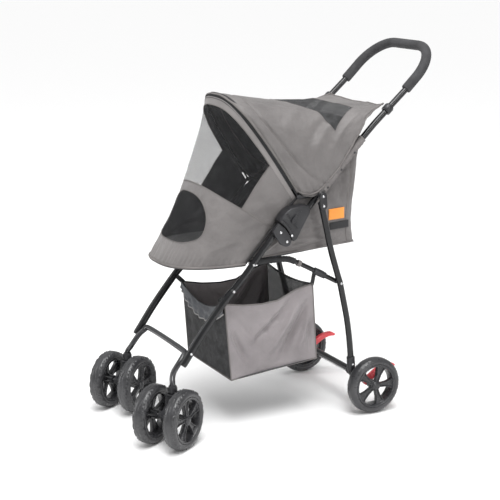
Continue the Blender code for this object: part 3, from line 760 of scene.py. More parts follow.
for side, sign in SIDES:
    heads = [rivet(sign * 0.1668, -0.264, 0.5015, sign), rivet(sign * 0.1690, *FOLD, sign),
             rivet(sign * 0.1560, -0.333, 0.425, sign), rivet(sign * 0.1573, -0.388, 0.3645, sign),
             rivet(sign * 0.1573, -0.504, 0.2225, sign)]
    hand_over(join(heads), "front_rivets_" + side, bright_steel, "front_frame")
    heads = [rivet(sign * 0.1665, -0.2330, 0.4905, sign), rivet(sign * 0.1805, *HANGER_TOP, sign),
             rivet(sign * 0.1805, *HANGER_LOW, sign)]
    hand_over(join(heads), "upper_rivets_" + side, bright_steel, "upper_frame")
    heads = [rivet(sign * 0.1753, -0.094, 0.354, sign), rivet(sign * 0.1676, -0.0505, 0.130, sign)]
    hand_over(join(heads), "rear_rivets_" + side, bright_steel, "rear_frame")
    hand_over(rod(0.0032, 0.018, at(sign * 0.1350, *FOLD), sign), "fold_axle_" + side,
              bright_steel, "upper_frame", ["fold_pin_" + side])

# %% [markdown]
# ## Wheels
# All six wheels are the same design: a plastic rim with five wide spokes, each with two raised
# ribs and a sunk middle, a domed cap on the hub, and a solid foamed tyre with raised marks on its
# shoulders. One wheel of each width is made at the origin, lying on its back, and copied to the
# axles. The rim's barrel is spun. One spoke is modelled by inset and push, and copied round.


# %% One spoke
def spoke(face, depth):
    """A tapered plate whose outer face has two ribs and a sunk middle."""
    outline = [(0.0085, -0.0050), (0.030, -0.0064), (0.0445, -0.0105), (0.0515, -0.0160),
               (0.0515, 0.0160), (0.0445, 0.0105), (0.030, 0.0064), (0.0085, 0.0050)]
    piece = drawn_out([(x, y, face - depth) for x, y in outline], (0, 0, depth))
    for part in piece.data.polygons:
        part.select = part.normal.z > 0.9
    bpy.ops.object.mode_set(mode="EDIT")
    bpy.ops.mesh.select_mode(type="FACE")
    bpy.ops.mesh.inset(thickness=0.0021, depth=0)
    bpy.ops.mesh.inset(thickness=0.0010, depth=-0.0034)
    bpy.ops.mesh.select_mode(type="VERT")
    bpy.ops.object.mode_set(mode="OBJECT")
    round_edges(piece, 0.0006, 2, 30)
    return piece


print("a spoke is made in the place that its wheel gives it")

# %% One rim
SPOKES = 5
LUG_RING = 0.0132


def wheel_rim(width):
    half = width / 2 - 0.002
    barrel = turned([(0.0580, -half), (0.0580, half), (0.0572, half + 0.0012),
                     (0.0540, half + 0.0012), (0.0520, half), (0.0500, half - 0.0050),
                     (0.0496, half - 0.016), (0.0500, -half + 0.004), (0.0520, -half)],
                    (0, 0, 0), (0, 0, 1), 96)
    hub = turned([(0, -half), (0.0105, -half), (0.0115, -half + 0.001), (0.0118, half - 0.010),
                  (0.0150, half - 0.006), (0.0146, half - 0.0042), (0.0128, half - 0.0034),
                  (0, half - 0.0034)], (0, 0, 0), (0, 0, 1), 48)
    cap = turned([(0, half - 0.004), (0.0112, half - 0.004), (0.0112, half - 0.0012),
                  (0.0100, half + 0.0004), (0.0075, half + 0.0019), (0.0040, half + 0.0028),
                  (0, half + 0.0031)], (0, 0, 0), (0, 0, 1), 48)
    arm = spoke(half - 0.0020, 0.0115)
    lug = turned([(0, 0), (0.0012, 0), (0.0012, 0.0016), (0.0008, 0.0022), (0, 0.0022)],
                 (0, 0, half - 0.0042), (0, 0, 1), 10)
    arms, lugs = [], []
    for i in range(SPOKES):
        turn = 360 / SPOKES * i
        arms.append(copied(arm, Matrix.Rotation(math.radians(turn + 54), 4, "Z")))
        around = math.radians(turn + 18)
        lugs.append(copied(lug, Matrix.Translation((LUG_RING * math.cos(around),
                                                    LUG_RING * math.sin(around), 0))))
    for pattern in (arm, lug):
        bpy.data.objects.remove(pattern, do_unlink=True)
    rim = join([barrel, hub, cap] + arms + lugs)
    smooth(rim, 32)
    print("rim: %d faces" % len(rim.data.polygons))
    return rim


# %% One tyre, with its shoulder marks
MARKS_ROUND = 20
TYRE_RADIUS = 0.0750


def mark(angle, along, half):
    """How far the rubber stands up at one place: oval rings on the shoulders and a wavy groove."""
    turns = angle / (2 * math.pi) * MARKS_ROUND
    cell = turns % 1.0 - 0.5
    odd = int(turns) % 2
    shoulder = (abs(along) - half * 0.74) / (half * 0.26)
    slant = cell - (0.18 if odd else -0.18) * shoulder
    oval = math.hypot(slant / 0.34, shoulder / 0.62)
    ring = max(0.0, 1 - abs(oval - 0.78) / 0.24)
    wave = abs(along - half * 0.16 * math.sin(angle * MARKS_ROUND / 2)) / (half * 0.09)
    return 0.0021 * min(1.0, 1.6 * ring) - 0.0013 * max(0.0, 1 - wave)


def wheel_tyre(width, depth):
    half = width / 2
    profile = []
    for i in range(25):
        t = -1 + 2 * i / 24
        side = math.copysign(abs(t) ** 0.8, t)
        ridge = 0.0010 * math.exp(-((abs(t) - 0.92) / 0.05) ** 2)
        radius = TYRE_RADIUS - 0.0102 * abs(side) ** 3.4 + ridge
        profile.append((radius - 0.0012, half * side))
    profile += [(0.0612, half * 0.985), (0.0584, half * 0.93), (0.0584, -half * 0.93),
                (0.0612, -half * 0.985)]
    tyre = turned(profile, (0, 0, 0), (0, 0, 1), 12 * MARKS_ROUND)
    for corner in tyre.data.vertices:
        radius = math.hypot(corner.co.x, corner.co.y)
        if radius > 0.0628:
            angle = math.atan2(corner.co.y, corner.co.x) % (2 * math.pi)
            grow = 1 + (mark(angle, corner.co.z, half) * depth) / radius
            corner.co.x *= grow
            corner.co.y *= grow
            corner.co.z *= 1 + 0.25 * (grow - 1)
    smooth(tyre, 60)
    print("tyre: %d faces" % len(tyre.data.polygons))
    return tyre


# %% Copy the wheels to their axles
def set_wheel(body, title, rim, tyre, centre, outward, roll):
    turn = Vector(outward).to_track_quat("Z", "Y").to_matrix().to_4x4()
    place = Matrix.Translation(centre) @ turn @ Matrix.Rotation(math.radians(roll), 4, "Z")
    for pattern, kind, finish, slot in ((rim, "_rim", wheel_plastic, "wheel_plastic"),
                                        (tyre, "_tyre", tyre_foam, "tyre")):
        hand_over(copied(pattern, place), title + kind, finish, body, [body + kind],
                  angle=None)


CASTER_TURN = math.radians(34)
CASTER_TRAIL = 0.022
REAR_WIDTH, FRONT_WIDTH = 0.034, 0.0355
caster_axle = Vector((math.cos(CASTER_TURN), math.sin(CASTER_TURN), 0))
caster_roll = Vector((math.sin(CASTER_TURN), -math.cos(CASTER_TURN), 0))
rear_rim, rear_tyre = wheel_rim(REAR_WIDTH), wheel_tyre(REAR_WIDTH, 0.35)
front_rim, front_tyre = wheel_rim(FRONT_WIDTH), wheel_tyre(FRONT_WIDTH, 1.0)
for side, sign in SIDES:
    set_wheel("rear_wheel_" + side, "back_wheel_" + side, rear_rim, rear_tyre,
              at(sign * 0.187, 0, AXLE_Z), (sign, 0, 0), 17 + 24 * (sign < 0))
    hub = at(sign * CASTER_X, CASTER_Y, AXLE_Z) + caster_roll * CASTER_TRAIL
    for end, way in (("outer", sign), ("inner", -sign)):
        set_wheel("caster_%s_%s" % (side, end), "swivel_%s_%s" % (side, end), front_rim,
                  front_tyre, hub + caster_axle * 0.043 * way, caster_axle * way,
                  31 * way + 12 * sign)
for pattern in (rear_rim, rear_tyre, front_rim, front_tyre):
    bpy.data.objects.remove(pattern, do_unlink=True)
print("six wheels set")

# %% [markdown]
# ## Casters
# Each caster is a moulded block that swivels on the stem of the fork tube and holds the short
# axle between its two wheels, a little behind the stem so that it trails. The block's outline is
# drawn from the side, in the caster's own turned frame.

# %% Caster blocks and axles
for side, sign in SIDES:
    pin = at(sign * CASTER_X, CASTER_Y, 0)
    turn = Matrix.Translation(pin) @ Matrix((
        (-caster_axle.x, caster_roll.x, 0, 0), (-caster_axle.y, caster_roll.y, 0, 0),
        (0, 0, 1, 0), (0, 0, 0, 1)))
    outline = ([(-0.0115, 0.1270), (-0.0115, 0.0920)]
               + arc((CASTER_TRAIL, AXLE_Z), 0.0150, 215, 420, 16)
               + [(0.0115, 0.1000), (0.0115, 0.1270)])
    block = plate(outline, -0.015, 0.015, 0.0028, 3, turn)
    crown = turned([(0.0078, -0.002), (0.0142, -0.002), (0.0146, 0.0), (0.0130, 0.0008),
                    (0.0078, 0.0008)], pin + Vector((0, 0, 0.1262)), (0, 0, 1), 40)
    hub = pin + caster_roll * CASTER_TRAIL + Vector((0, 0, AXLE_Z))
    bosses = [turned([(0.0042, 0), (0.0108, 0), (0.0098, 0.0085), (0.0042, 0.0085)],
                     hub + caster_axle * 0.0150 * way, caster_axle * way, 36) for way in (1, -1)]
    hand_over(join([block, crown] + bosses), "swivel_block_" + side, black_plastic,
              "caster_" + side, ["caster_fork_" + side])
    pin_axle = turned([(0, -0.0590), (0.0034, -0.0590), (0.0039, -0.0582), (0.0039, 0.0582),
                       (0.0034, 0.0590), (0, 0.0590)], hub, caster_axle, 24)
    hand_over(pin_axle, "swivel_axle_" + side, bright_steel, "caster_" + side,
              ["caster_axle_" + side])

# %% [markdown]
# ## How the soft pieces are cut
# Every soft panel starts as flat cloth: a grid that is one unit wide and one unit long. Seams
# and window openings are cut in it while it is flat, exactly where a line function is zero, as
# shears would. Then a shape function says where each place on the cloth goes in space, the map
# is stretched to metres so that threads keep their size, and the panels part by material.
# Simulation is not used: these panels are stretched tight between wires and tubes, and their
# few folds have known causes, so the folds are modelled directly.


# %% Read a table and a superellipse
RIM_POWER, ARCH_POWER, VENT_POWER = 2 / 2.7, 2 / 2.9, 2 / 2.2


def table_at(table, v):
    """Values between the rows of a table, which is read by its first column."""
    for (a, *first), (b, *second) in zip(table, table[1:]):
        if v <= b:
            t = max(0.0, (v - a) / (b - a))
            return [p + (q - p) * t for p, q in zip(first, second)]
    return list(table[-1][1:])


def squarer(value, power):
    """A sine or cosine whose circle is drawn out towards a square."""
    return math.copysign(abs(value) ** power, value)


def half_turn(u):
    """Cosine and sine from one side, over the middle, to the other side."""
    return math.cos(math.pi * u), max(math.sin(math.pi * u), 0.0)


print("an arch at 45 degrees stands %.2f of its height" % squarer(math.sqrt(0.5), ARCH_POWER))


# %% Cut and fold a flat cloth
NEARBY = 0.004


def flat_cloth(columns, rows):
    bpy.ops.mesh.primitive_grid_add(x_subdivisions=columns, y_subdivisions=rows, size=1)
    cloth = bpy.context.object
    cloth.location = (0, 0, 0)
    cloth.data.transform(Matrix.Translation((0.5, 0.5, 0)))
    return cloth


def cut_along(cloth, line):
    """Splits the flat cloth's edges where line(u, v) is zero, and joins the cuts."""
    work = bmesh.new()
    work.from_mesh(cloth.data)
    side = {corner: line(corner.co.x, corner.co.y) for corner in work.verts}
    cuts = []
    for thread in list(work.edges):
        a, b = thread.verts
        if side[a] * side[b] < 0:
            _, corner = bmesh.utils.edge_split(thread, a, side[a] / (side[a] - side[b]))
            side[corner] = 0.0
            cuts.append(corner)
    bmesh.ops.connect_verts(work, verts=cuts)
    work.to_mesh(cloth.data)
    work.free()


def crease(u, v, a, b, width, height):
    """A soft fold along the line from a to b on the flat cloth, which fades at its ends."""
    run = (b[0] - a[0], b[1] - a[1])
    t = ((u - a[0]) * run[0] + (v - a[1]) * run[1]) / (run[0] ** 2 + run[1] ** 2)
    t = min(max(t, 0.0), 1.0)
    off = math.hypot(u - a[0] - t * run[0], v - a[1] - t * run[1])
    return height * math.exp(-(off / width) ** 2) * math.sin(math.pi * min(max(t, 0.04), 0.96))


def raised(shape, relief):
    """The same shape, pushed out of its own surface by relief(u, v) metres."""
    def place(u, v):
        along = shape(min(u + NEARBY, 1), v) - shape(max(u - NEARBY, 0), v)
        upward = shape(u, min(v + NEARBY, 1)) - shape(u, max(v - NEARBY, 0))
        out = upward.cross(along)
        return shape(u, v) + (out.normalized() * relief(u, v) if out.length > 1e-9 else out)
    return place


print("a fold of 5 mm is %.1f mm high halfway" % (1000 * crease(0.5, 0, (0, 0), (1, 0), 1, 0.005)))


# %% Sew a panel and its piping
def carry(piece, way):
    """Hands a soft piece to a body; a blended piece only has its place applied, and a squashed one
    gets a mesh of its own.
    """
    if way[0] == "blend":
        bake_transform(piece)
    elif way[0] == "squash":
        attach(piece, way[1])
        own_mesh(piece)
    else:
        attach(piece, way[0])


def sew(names, columns, rows, cuts, shape, metres, finishes, way, thick=0.0011,
        stands_for=(), lining=None):
    """Cuts a flat cloth into panels, shapes them, and hands over each panel as its own sheet.

    cuts[i](u, v) is negative inside panel i + 1; what is in no cut is panel 0. A panel whose
    finish is net stays a single layer, and cloth gets a lining on its inner side."""
    cloth = flat_cloth(columns, rows)
    for line in cuts:
        cut_along(cloth, line)
    cloth.data.materials.clear()
    for name in names:
        cloth.data.materials.append(bpy.data.materials.new("part_" + name))
    for patch in cloth.data.polygons:
        centre = patch.center
        for i, line in enumerate(cuts):
            if line(centre.x, centre.y) < 0:
                patch.material_index = i + 1
                break
    chart = cloth.data.uv_layers["UVMap"]
    for loop in cloth.data.loops:
        flat = cloth.data.vertices[loop.vertex_index].co
        chart.data[loop.index].uv = (flat.x * metres[0], flat.y * metres[1])
    for corner in cloth.data.vertices:
        corner.co = shape(corner.co.x, corner.co.y)
    edit(cloth)
    bpy.ops.mesh.flip_normals()
    if len(names) > 1:
        bpy.ops.mesh.separate(type="MATERIAL")
    bpy.ops.object.mode_set(mode="OBJECT")
    for piece in list(bpy.context.selected_objects):
        used = piece.data.materials[piece.data.polygons[0].material_index].name
        i = next(k for k, name in enumerate(names) if used.startswith("part_" + name))
        area = sum(patch.area for patch in piece.data.polygons)
        cut = [max(loop.uv[k] for loop in piece.data.uv_layers["UVMap"].data)
               - min(loop.uv[k] for loop in piece.data.uv_layers["UVMap"].data) for k in (0, 1)]
        cut[1] = max(cut[1], area / cut[0])
        piece.data.materials.clear()
        piece.data.materials.append(finishes[i])
        for patch in piece.data.polygons:
            patch.material_index = 0
        only(piece)
        bpy.ops.object.shade_smooth()
        if finishes[i] not in NETS:
            piece.data.materials.append(lining or lining_cloth)
            wall = piece.modifiers.new("wall", "SOLIDIFY")
            wall.thickness = thick
            wall.offset = -1
            wall.material_offset = 1
            wall.material_offset_rim = 0
            apply_steps(piece)
        piece.name = piece.data.name = names[i]
        carry(piece, way)
        print("%s: %.4f square metres, cut %.3f x %.3f m" % (names[i], area, *cut))
    if stands_for:
        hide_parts(*stands_for)


def piping(name, points, radius, finish, way, steps=1, sides=3):
    """A cord of binding tape along a seam."""
    cord = bent_tube(curved(points, steps), radius, sides)
    name_and_finish(cord, name, finish)
    smooth(cord, 50)
    carry(cord, way)
    print("%s along %d places" % (name, len(points)))


print("%d cloths and nets to sew with" % sum("cloth" in m.name or "net" in m.name
                                             for m in bpy.data.materials))


# %% [markdown]
# ## Front cover
# The cover closes the cabin's nose. Its lower edge follows an egg-shaped rim, its upper edge a
# springy wire arch, and between them the cloth is stretched, so it curves inwards. It has a big
# net window, a smaller vent below it, and a zip along the arch. Rim and arch are superellipses,
# and the cloth is a loft between them. When the real stroller folds, the cover flattens on the
# floor; here it is only carried by the front frame, with a mesh of its own.

# %% The cover's shape
BOW_LEAN = math.radians(123)
BOW_FOOT = (-0.200, 0.580)
NOSE_START = -0.345
COVER_HALF = 0.1338
cover_way = ("squash", "front_frame", "frame_fold", (0, 0, 1), at(0, -0.40, 0.430), 0.2)


def arch(x_half, rise, shift, u):
    """A point of the wire arch in the bow's plane, from its left foot to its right one."""
    c, s = half_turn(u)
    height = rise * squarer(s, ARCH_POWER)
    return at(x_half * squarer(c, ARCH_POWER),
              BOW_FOOT[0] + height * math.cos(BOW_LEAN) - shift * math.sin(BOW_LEAN),
              BOW_FOOT[1] + height * math.sin(BOW_LEAN) + shift * math.cos(BOW_LEAN))


def cover_shape(u, v):
    """A loft from the egg-shaped rim up to the arch, which bulges forward in the middle."""
    c, s = half_turn(u)
    rim = at(COVER_HALF * squarer(c, RIM_POWER), NOSE_START - 0.181 * squarer(s, RIM_POWER), 0.424)
    place = rim.lerp(arch(COVER_HALF, 0.292, 0.006, u), v)
    place.y += 0.026 * 4 * v * (1 - v) * s * s
    return place


print("the arch is %.3f m high" % (arch(COVER_HALF, 0.292, 0.006, 0.5).z - BOW_FOOT[1]))

# %% Lines on the flat cover: window, vent and the band beside the zip
BAND_START = 0.952
VENT_MIDDLE, VENT_HALF, VENT_ABOVE, VENT_BELOW = 0.23, 0.235, 0.19, 0.10


def near(u):
    """How far a place is from the nearer end of the cloth."""
    return min(u, 1 - u)


def seam_height(u):
    return 0.475 + 0.055 * (1 - math.sin(math.pi * u)) ** 1.5


def window_edge(v):
    return 0.116 - 0.03 * (v - 0.49) / 0.48


def window_line(u, v):
    return max(seam_height(u) - v, v - BAND_START, window_edge(v) - near(u))


def vent_line(u, v):
    tall = VENT_ABOVE if v > VENT_MIDDLE else VENT_BELOW
    return (abs(u - 0.5) / VENT_HALF) ** 2.2 + (abs(v - VENT_MIDDLE) / tall) ** 2.2 - 1


def band_line(_, v):
    return BAND_START - v


print("window from %.3f to %.3f of the cloth's width" % (window_edge(0.7), 1 - window_edge(0.7)))


# %% The cover's folds, and the cover itself
def cover_relief(u, v):
    wave = 0.0024 * noise.noise((u * 9, v * 5, 1.7)) + 0.0011 * noise.noise((u * 26, v * 12, 4.1))
    groove = -0.0010 * math.exp(-((v - seam_height(u)) / 0.012) ** 2)
    sag = 0.003 * math.sin(math.pi * v) * math.exp(-((near(u) - 0.05) / 0.05) ** 2)
    pull = (crease(near(u), v, (0.0, 0.86), (0.075, 0.50), 0.012, 0.0036)
            + crease(near(u), v, (0.0, 0.60), (0.09, 0.30), 0.016, 0.0034)
            + crease(near(u), v, (0.02, 0.30), (0.20, 0.08), 0.020, 0.0030))
    pucker = (0.0013 * math.sin(u * 210 + 3 * noise.noise((u * 14, 0.5, 2)))
              * math.exp(-((v - 0.03) / 0.05) ** 2) * min(1.0, 40 * v))
    return (wave + groove - sag + pull) * min(1.0, 14 * v, 14 * (1 - v)) + pucker


cover = raised(cover_shape, cover_relief)
cover_names = ["cover_cloth", "cover_window_net", "cover_vent_net", "cover_zip_band"]
sew(cover_names, 150, 90, [window_line, vent_line, band_line], cover, (0.62, 0.44),
    [cabin_cloth, window_net, window_net, band_cloth], cover_way,
    stands_for=["front_cover"])

# %% Its piping: rim, rear edges, window frame and vent frame, and a painted shadow under the rim
def shares(count, start=0.0, end=1.0):
    """Evenly spaced numbers from start to end, with both ends."""
    return [start + (end - start) * k / count for k in range(count + 1)]


rim_line = [cover_shape(u, 0.0) for u in shares(60)]
piping("cover_rim_piping", rim_line, 0.0030, grey_tape, cover_way, 2, 4)
# A thin black strip just under the rim piping is painted shadow, not a real tape.
piping("cover_rim_painted_shadow", [p + Vector((0, 0, -0.0036)) for p in rim_line], 0.0014,
       black_tape, cover_way, 2)
for side, u in (("left", 0.0), ("right", 1.0)):
    piping("cover_edge_piping_" + side, [cover_shape(u, v) for v in shares(16)], 0.0019,
           black_tape, cover_way, 2, 4)
frame_points = ([(window_edge(v), v) for v in shares(12, 0.50, 0.95)]
                + [(u, BAND_START) for u in shares(40, 0.088, 0.912)[1:-1]]
                + [(1 - window_edge(v), v) for v in shares(12, 0.95, 0.50)])
piping("window_frame_tape", [cover(u, v) for u, v in frame_points], 0.0013, grey_tape,
       cover_way)
piping("window_sill_tape", [cover(u, seam_height(u) + 0.001) for u in shares(60)], 0.0012,
       grey_tape, cover_way)
vent_points = []
for turn in shares(72, 0.0, 2 * math.pi)[:-1]:
    c, s = math.cos(turn), math.sin(turn)
    tall = VENT_ABOVE if s > 0 else VENT_BELOW
    vent_points.append((0.5 + VENT_HALF * squarer(c, VENT_POWER),
                        VENT_MIDDLE + tall * squarer(s, VENT_POWER)))
piping("vent_frame_tape", [cover(u, v) for u, v in vent_points + vent_points[:1]], 0.0012,
       grey_tape, cover_way)

# %% [markdown]
# ## Canopy
# The roof is one sheet from the bow to a hem between the handle tubes. Its sides wrap over the
# tubes, its front edge carries the zip, a seam crosses it behind the bow, and a dark net panel
# lies in its rear half. The bow turns backwards on its clips to open the cabin; the sheet only
# has its place applied and is carried by neither the bow nor the handle.

# %% The canopy's shape
canopy_way = ("blend", "canopy_bow", "upper_frame", at(0, -0.33, 0.80), at(0, -0.04, 0.79))
# How far from the bow to the hem, then half the width, y and z of the canopy's lower edge there.
EDGE = [(0.0, 0.138, -0.203, 0.594), (0.07, 0.146, -0.189, 0.583), (0.13, 0.152, -0.172, 0.579),
        (0.20, 0.156, -0.156, 0.584), (0.30, 0.158, -0.135, 0.599), (0.5, 0.158, -0.095, 0.642),
        (0.65, 0.158, -0.062, 0.691), (0.78, 0.156, -0.030, 0.743), (0.84, 0.150, -0.018, 0.763),
        (0.92, 0.138, 0.016, 0.784), (1.0, 0.127, 0.050, 0.7965)]


def canopy_shape(u, v):
    c, s = half_turn(u)
    half, y, z = table_at(EDGE, v)
    height = squarer(s, ARCH_POWER)
    return at(half * squarer(c, ARCH_POWER),
              y + (-0.361 + 0.409 * v - y) * height, z + (0.829 - 0.040 * v - z) * height)


print("the canopy's hem is %.3f m wide" % (2 * EDGE[-1][1]))

# %% Lines on the flat canopy: the cross seam and the net's front and rear edge
NET_SIDE = 0.125
# How far from the nearer side, then how far from the bow to the hem.
SEAM = [(0.0, 0.33), (0.03, 0.22), (0.07, 0.165), (0.125, 0.135), (0.19, 0.112), (0.27, 0.102),
        (0.38, 0.118), (0.5, 0.14)]
NET_FRONT = [(NET_SIDE, 0.575), (0.185, 0.555), (0.26, 0.552), (0.305, 0.545), (0.35, 0.50),
             (0.40, 0.457), (0.45, 0.443), (0.5, 0.44)]
NET_REAR = [(NET_SIDE, 0.575), (0.21, 0.70), (0.295, 0.815), (0.38, 0.805), (0.5, 0.80)]


def roof_seam(u):
    return table_at(SEAM, near(u))[0]


def roof_net_line(u, v):
    front, rear = table_at(NET_FRONT, near(u))[0], table_at(NET_REAR, near(u))[0]
    return max(front - v, v - rear, NET_SIDE - near(u))


print("the cross seam meets the middle at %.2f of the way back" % roof_seam(0.5))


# %% The canopy's folds, and the canopy itself
def canopy_relief(u, v):
    d = near(u)
    wave = 0.0030 * noise.noise((u * 7, v * 6, 9.3)) + 0.0013 * noise.noise((u * 24, v * 15, 2.2))
    groove = -0.0034 * math.exp(-((v - roof_seam(u)) / 0.011) ** 2)
    band = 0.0024 * math.sin(math.pi * min(1.0, v / max(roof_seam(u), 0.05))) ** 0.7
    hem = (0.0016 * math.exp(-((v - 0.035) / 0.012) ** 2)
           + 0.0014 * math.exp(-((v - 0.975) / 0.012) ** 2))
    folds = (crease(d, v, (0.02, 0.16), (0.20, 0.62), 0.022, 0.0060)
             + crease(d, v, (0.01, 0.34), (0.16, 0.80), 0.018, 0.0046)
             + crease(d, v, (0.10, 0.10), (0.40, 0.50), 0.030, 0.0032)
             - crease(d, v, (0.05, 0.22), (0.28, 0.66), 0.026, 0.0055)
             - crease(d, v, (0.22, 0.86), (0.50, 0.95), 0.03, 0.003))
    gather = 0.0011 * math.sin(v * 95 + 3 * noise.noise((v * 8, d * 9, 3))) * math.exp(-d / 0.018)
    sag = 0.008 * math.sin(math.pi * v) * math.sin(math.pi * u) ** 2
    return wave + groove + band + hem + folds + gather - sag


canopy = raised(canopy_shape, canopy_relief)
sew(["canopy_cloth", "canopy_roof_net"], 150, 110, [roof_net_line], canopy, (0.70, 0.43),
    [cabin_cloth, close_net], canopy_way,
    stands_for=["canopy"])


# %% The narrow flap that covers the gap under the zip
def flap_shape(u, v):
    u = 0.01 + 0.98 * u
    return arch(0.1330, 0.2905, 0.0085, u).lerp(arch(0.1365, 0.2945, -0.0090, u), v)


sew(["zip_flap"], 90, 4, [], flap_shape, (0.74, 0.018), [black_cloth],
    canopy_way)

# %% Zip, front hem, seam stitch and roof net frame
zip_line = [arch(0.1352, 0.2945, -0.0005, u) for u in shares(56)]
piping("canopy_zip", zip_line, 0.0024, black_tape, canopy_way, 2, 4)
front_hem = [canopy(u, 0.004) for u in shares(70)]
piping("canopy_front_hem", front_hem, 0.0028, grey_tape, canopy_way, 1, 4)
rear_hem = [canopy(u, 0.996) for u in shares(50)]
piping("canopy_rear_hem", rear_hem, 0.0024, grey_tape, canopy_way, 1, 4)
for side, u in (("left", 0.002), ("right", 0.998)):
    piping("canopy_side_hem_" + side, [canopy(u, v) for v in shares(40)], 0.0022, grey_tape,
           canopy_way, 1, 4)
seam_line = [canopy(u, roof_seam(u)) for u in shares(80, 0.004, 0.996)]
piping("canopy_seam", seam_line, 0.0013, grey_tape, canopy_way)
net_frame = ([(u, table_at(NET_FRONT, near(u))[0]) for u in shares(44, NET_SIDE, 1 - NET_SIDE)]
             + [(u, table_at(NET_REAR, near(u))[0])
                for u in shares(44, 1 - NET_SIDE, NET_SIDE)[1:]])
piping("roof_net_tape", [canopy(u, v) for u, v in net_frame], 0.0009, grey_tape,
       canopy_way)

# %% The bow, a springy wire
hand_over(bent_tube([arch(0.1335, 0.290, 0, u) for u in shares(60)], 0.0025, 4), "bow_wire",
          black_paint, "canopy_bow", ["canopy_bow"])

# %% [markdown]
# ## Tube sleeves
# The canopy and the cabin's sides meet in a loose sleeve round each handle tube. A loose sleeve
# on a slope slips down and gathers, so its radius goes up and down in uneven rings.

# %% Gathered sleeves and their snaps
for side, sign in SIDES:
    line = curved([at(sign * 0.1478, -0.140, 0.5925), at(sign * 0.1475, -0.095, 0.641),
                   at(sign * 0.1468, -0.055, 0.683), at(sign * 0.1462, -0.022, 0.7165)], 20)
    rings = [1.0 + 0.13 * noise.noise((i * 0.33, sign * 2.5, 0.4)) + 0.05 * math.sin(i * 1.3)
             for i in range(len(line))]
    rings[0] = rings[-1] = 0.84
    sleeve = bent_tube(line, 0.0112, 10, rings)
    only(sleeve)
    step = sleeve.modifiers.new("folds", "SMOOTH")
    step.factor, step.iterations = 0.5, 2
    hand_over(sleeve, "tube_sleeve_" + side, sleeve_cloth, "upper_frame")
    snaps = [turned(dome(0.0030, 0.0014), at(sign * 0.1585, y, z), (sign, 0, 0), 18)
             for y, z in ((-0.128, 0.6010), (-0.090, 0.6425), (-0.052, 0.6825))]
    hand_over(join(snaps), "sleeve_snaps_" + side, black_plastic, "upper_frame")

# %% [markdown]
# ## Cabin sides and floor
# One sheet goes round the cabin: from the cover's rear edge on one side, round the back, to the
# same place on the other. Above it is held by the handle tubes, so on the real stroller it moves
# with them, and below by the floor, which stays with the front frame. Here the sheet only has its
# place applied and is carried by neither body.

# %% The wall's shape
wall_way = ("blend", "front_frame", "upper_frame", at(0, -0.08, 0.455), at(0, -0.08, 0.615))
# The height, then y of the rear wall at that height.
REAR_LINE = [(0.449, -0.029), (0.474, -0.033), (0.511, -0.036), (0.570, -0.029),
             (0.646, -0.022), (0.734, -0.018), (0.76, -0.017)]
SIDE_RUN, CORNER_RUN, BACK_RUN = 0.288, 0.022, 0.228
CORNER_RADIUS = 0.0155
RUN = 2 * SIDE_RUN + 2 * CORNER_RUN + BACK_RUN


def wall_top(y):
    """The upper edge of a side: the cover's rear edge, then the handle tube."""
    if y < -0.200:
        return 0.430 + (y + 0.345) * 1.03
    if y < -0.149:
        return 0.580 + (y + 0.200) * 0.06
    return 0.583 + (y + 0.149) * 1.005


def wall_place(run):
    """Where a place along the sheet's run stands on the floor plan: x and y from the rear."""
    half = RUN / 2
    mirror = -1 if run < half else 1
    back_off = abs(run - half)
    if back_off < BACK_RUN / 2:
        return mirror * back_off, 0.0
    back_off -= BACK_RUN / 2
    if back_off < CORNER_RUN:
        turn = back_off / CORNER_RUN * math.pi / 2
        return (mirror * (BACK_RUN / 2 + CORNER_RADIUS * math.sin(turn)),
                -CORNER_RADIUS * (1 - math.cos(turn)))
    return (mirror * (BACK_RUN / 2 + CORNER_RADIUS),
            -CORNER_RADIUS - (back_off - CORNER_RUN))


def wall_shape(u, v):
    x, y_off = wall_place(u * RUN)
    share = min(1.0, -y_off / (SIDE_RUN + CORNER_RADIUS))
    low_z = 0.449 - 0.015 * share
    top_z = 0.755
    for _ in range(3):
        z = low_z + (top_z - low_z) * v
        y = table_at(REAR_LINE, z)[0] + y_off
        if abs(x) > BACK_RUN / 2 + 0.01:
            top_z = min(0.765, wall_top(y) - 0.004)
    lean = 0.004 * math.sin(math.pi * v) * (1 if share > 0.05 else 0)
    return at(x + math.copysign(lean, x) if abs(x) > 0.12 else x, y, low_z + (top_z - low_z) * v)


print("the wall's sheet is %.3f m long" % RUN)


# %% The wall's folds, and the wall itself
def wall_relief(u, v):
    run = u * RUN
    d = min(run, RUN - run) + 0.030
    wave = (0.0030 * noise.noise((run * 22, v * 5, 5.5))
            + 0.0014 * noise.noise((run * 60, v * 16, 8.1)))
    seam = -0.0034 * math.exp(-((d - SIDE_RUN - 0.022) / 0.0040) ** 2)
    folds = (crease(d, v * 0.3, (0.300, 0.02), (0.16, 0.075), 0.009, 0.0075)
             - crease(d, v * 0.3, (0.304, 0.05), (0.20, 0.13), 0.009, 0.0080)
             + crease(d, v * 0.3, (0.306, 0.09), (0.245, 0.26), 0.009, 0.0080)
             - crease(d, v * 0.3, (0.308, 0.14), (0.27, 0.28), 0.007, 0.0070)
             + crease(d, v * 0.3, (0.308, 0.20), (0.288, 0.29), 0.006, 0.0060)
             + crease(d, v * 0.3, (0.05, 0.06), (0.17, 0.23), 0.014, 0.0060)
             - crease(d, v * 0.3, (0.10, 0.012), (0.26, 0.022), 0.007, 0.0045)
             + crease(d, v * 0.3, (0.14, 0.03), (0.24, 0.05), 0.008, 0.0045)
             + crease(d, v * 0.3, (0.335, 0.03), (0.40, 0.20), 0.012, 0.0060)
             - crease(d, v * 0.3, (0.345, 0.14), (0.43, 0.05), 0.014, 0.0060))
    calm = math.exp(-((d - 0.286) / 0.042) ** 4 - ((v * 0.3 - 0.100) / 0.064) ** 4)
    return (wave + seam + folds) * (1 - 0.94 * calm) * min(1.0, 12 * v, 12 * (1 - v))


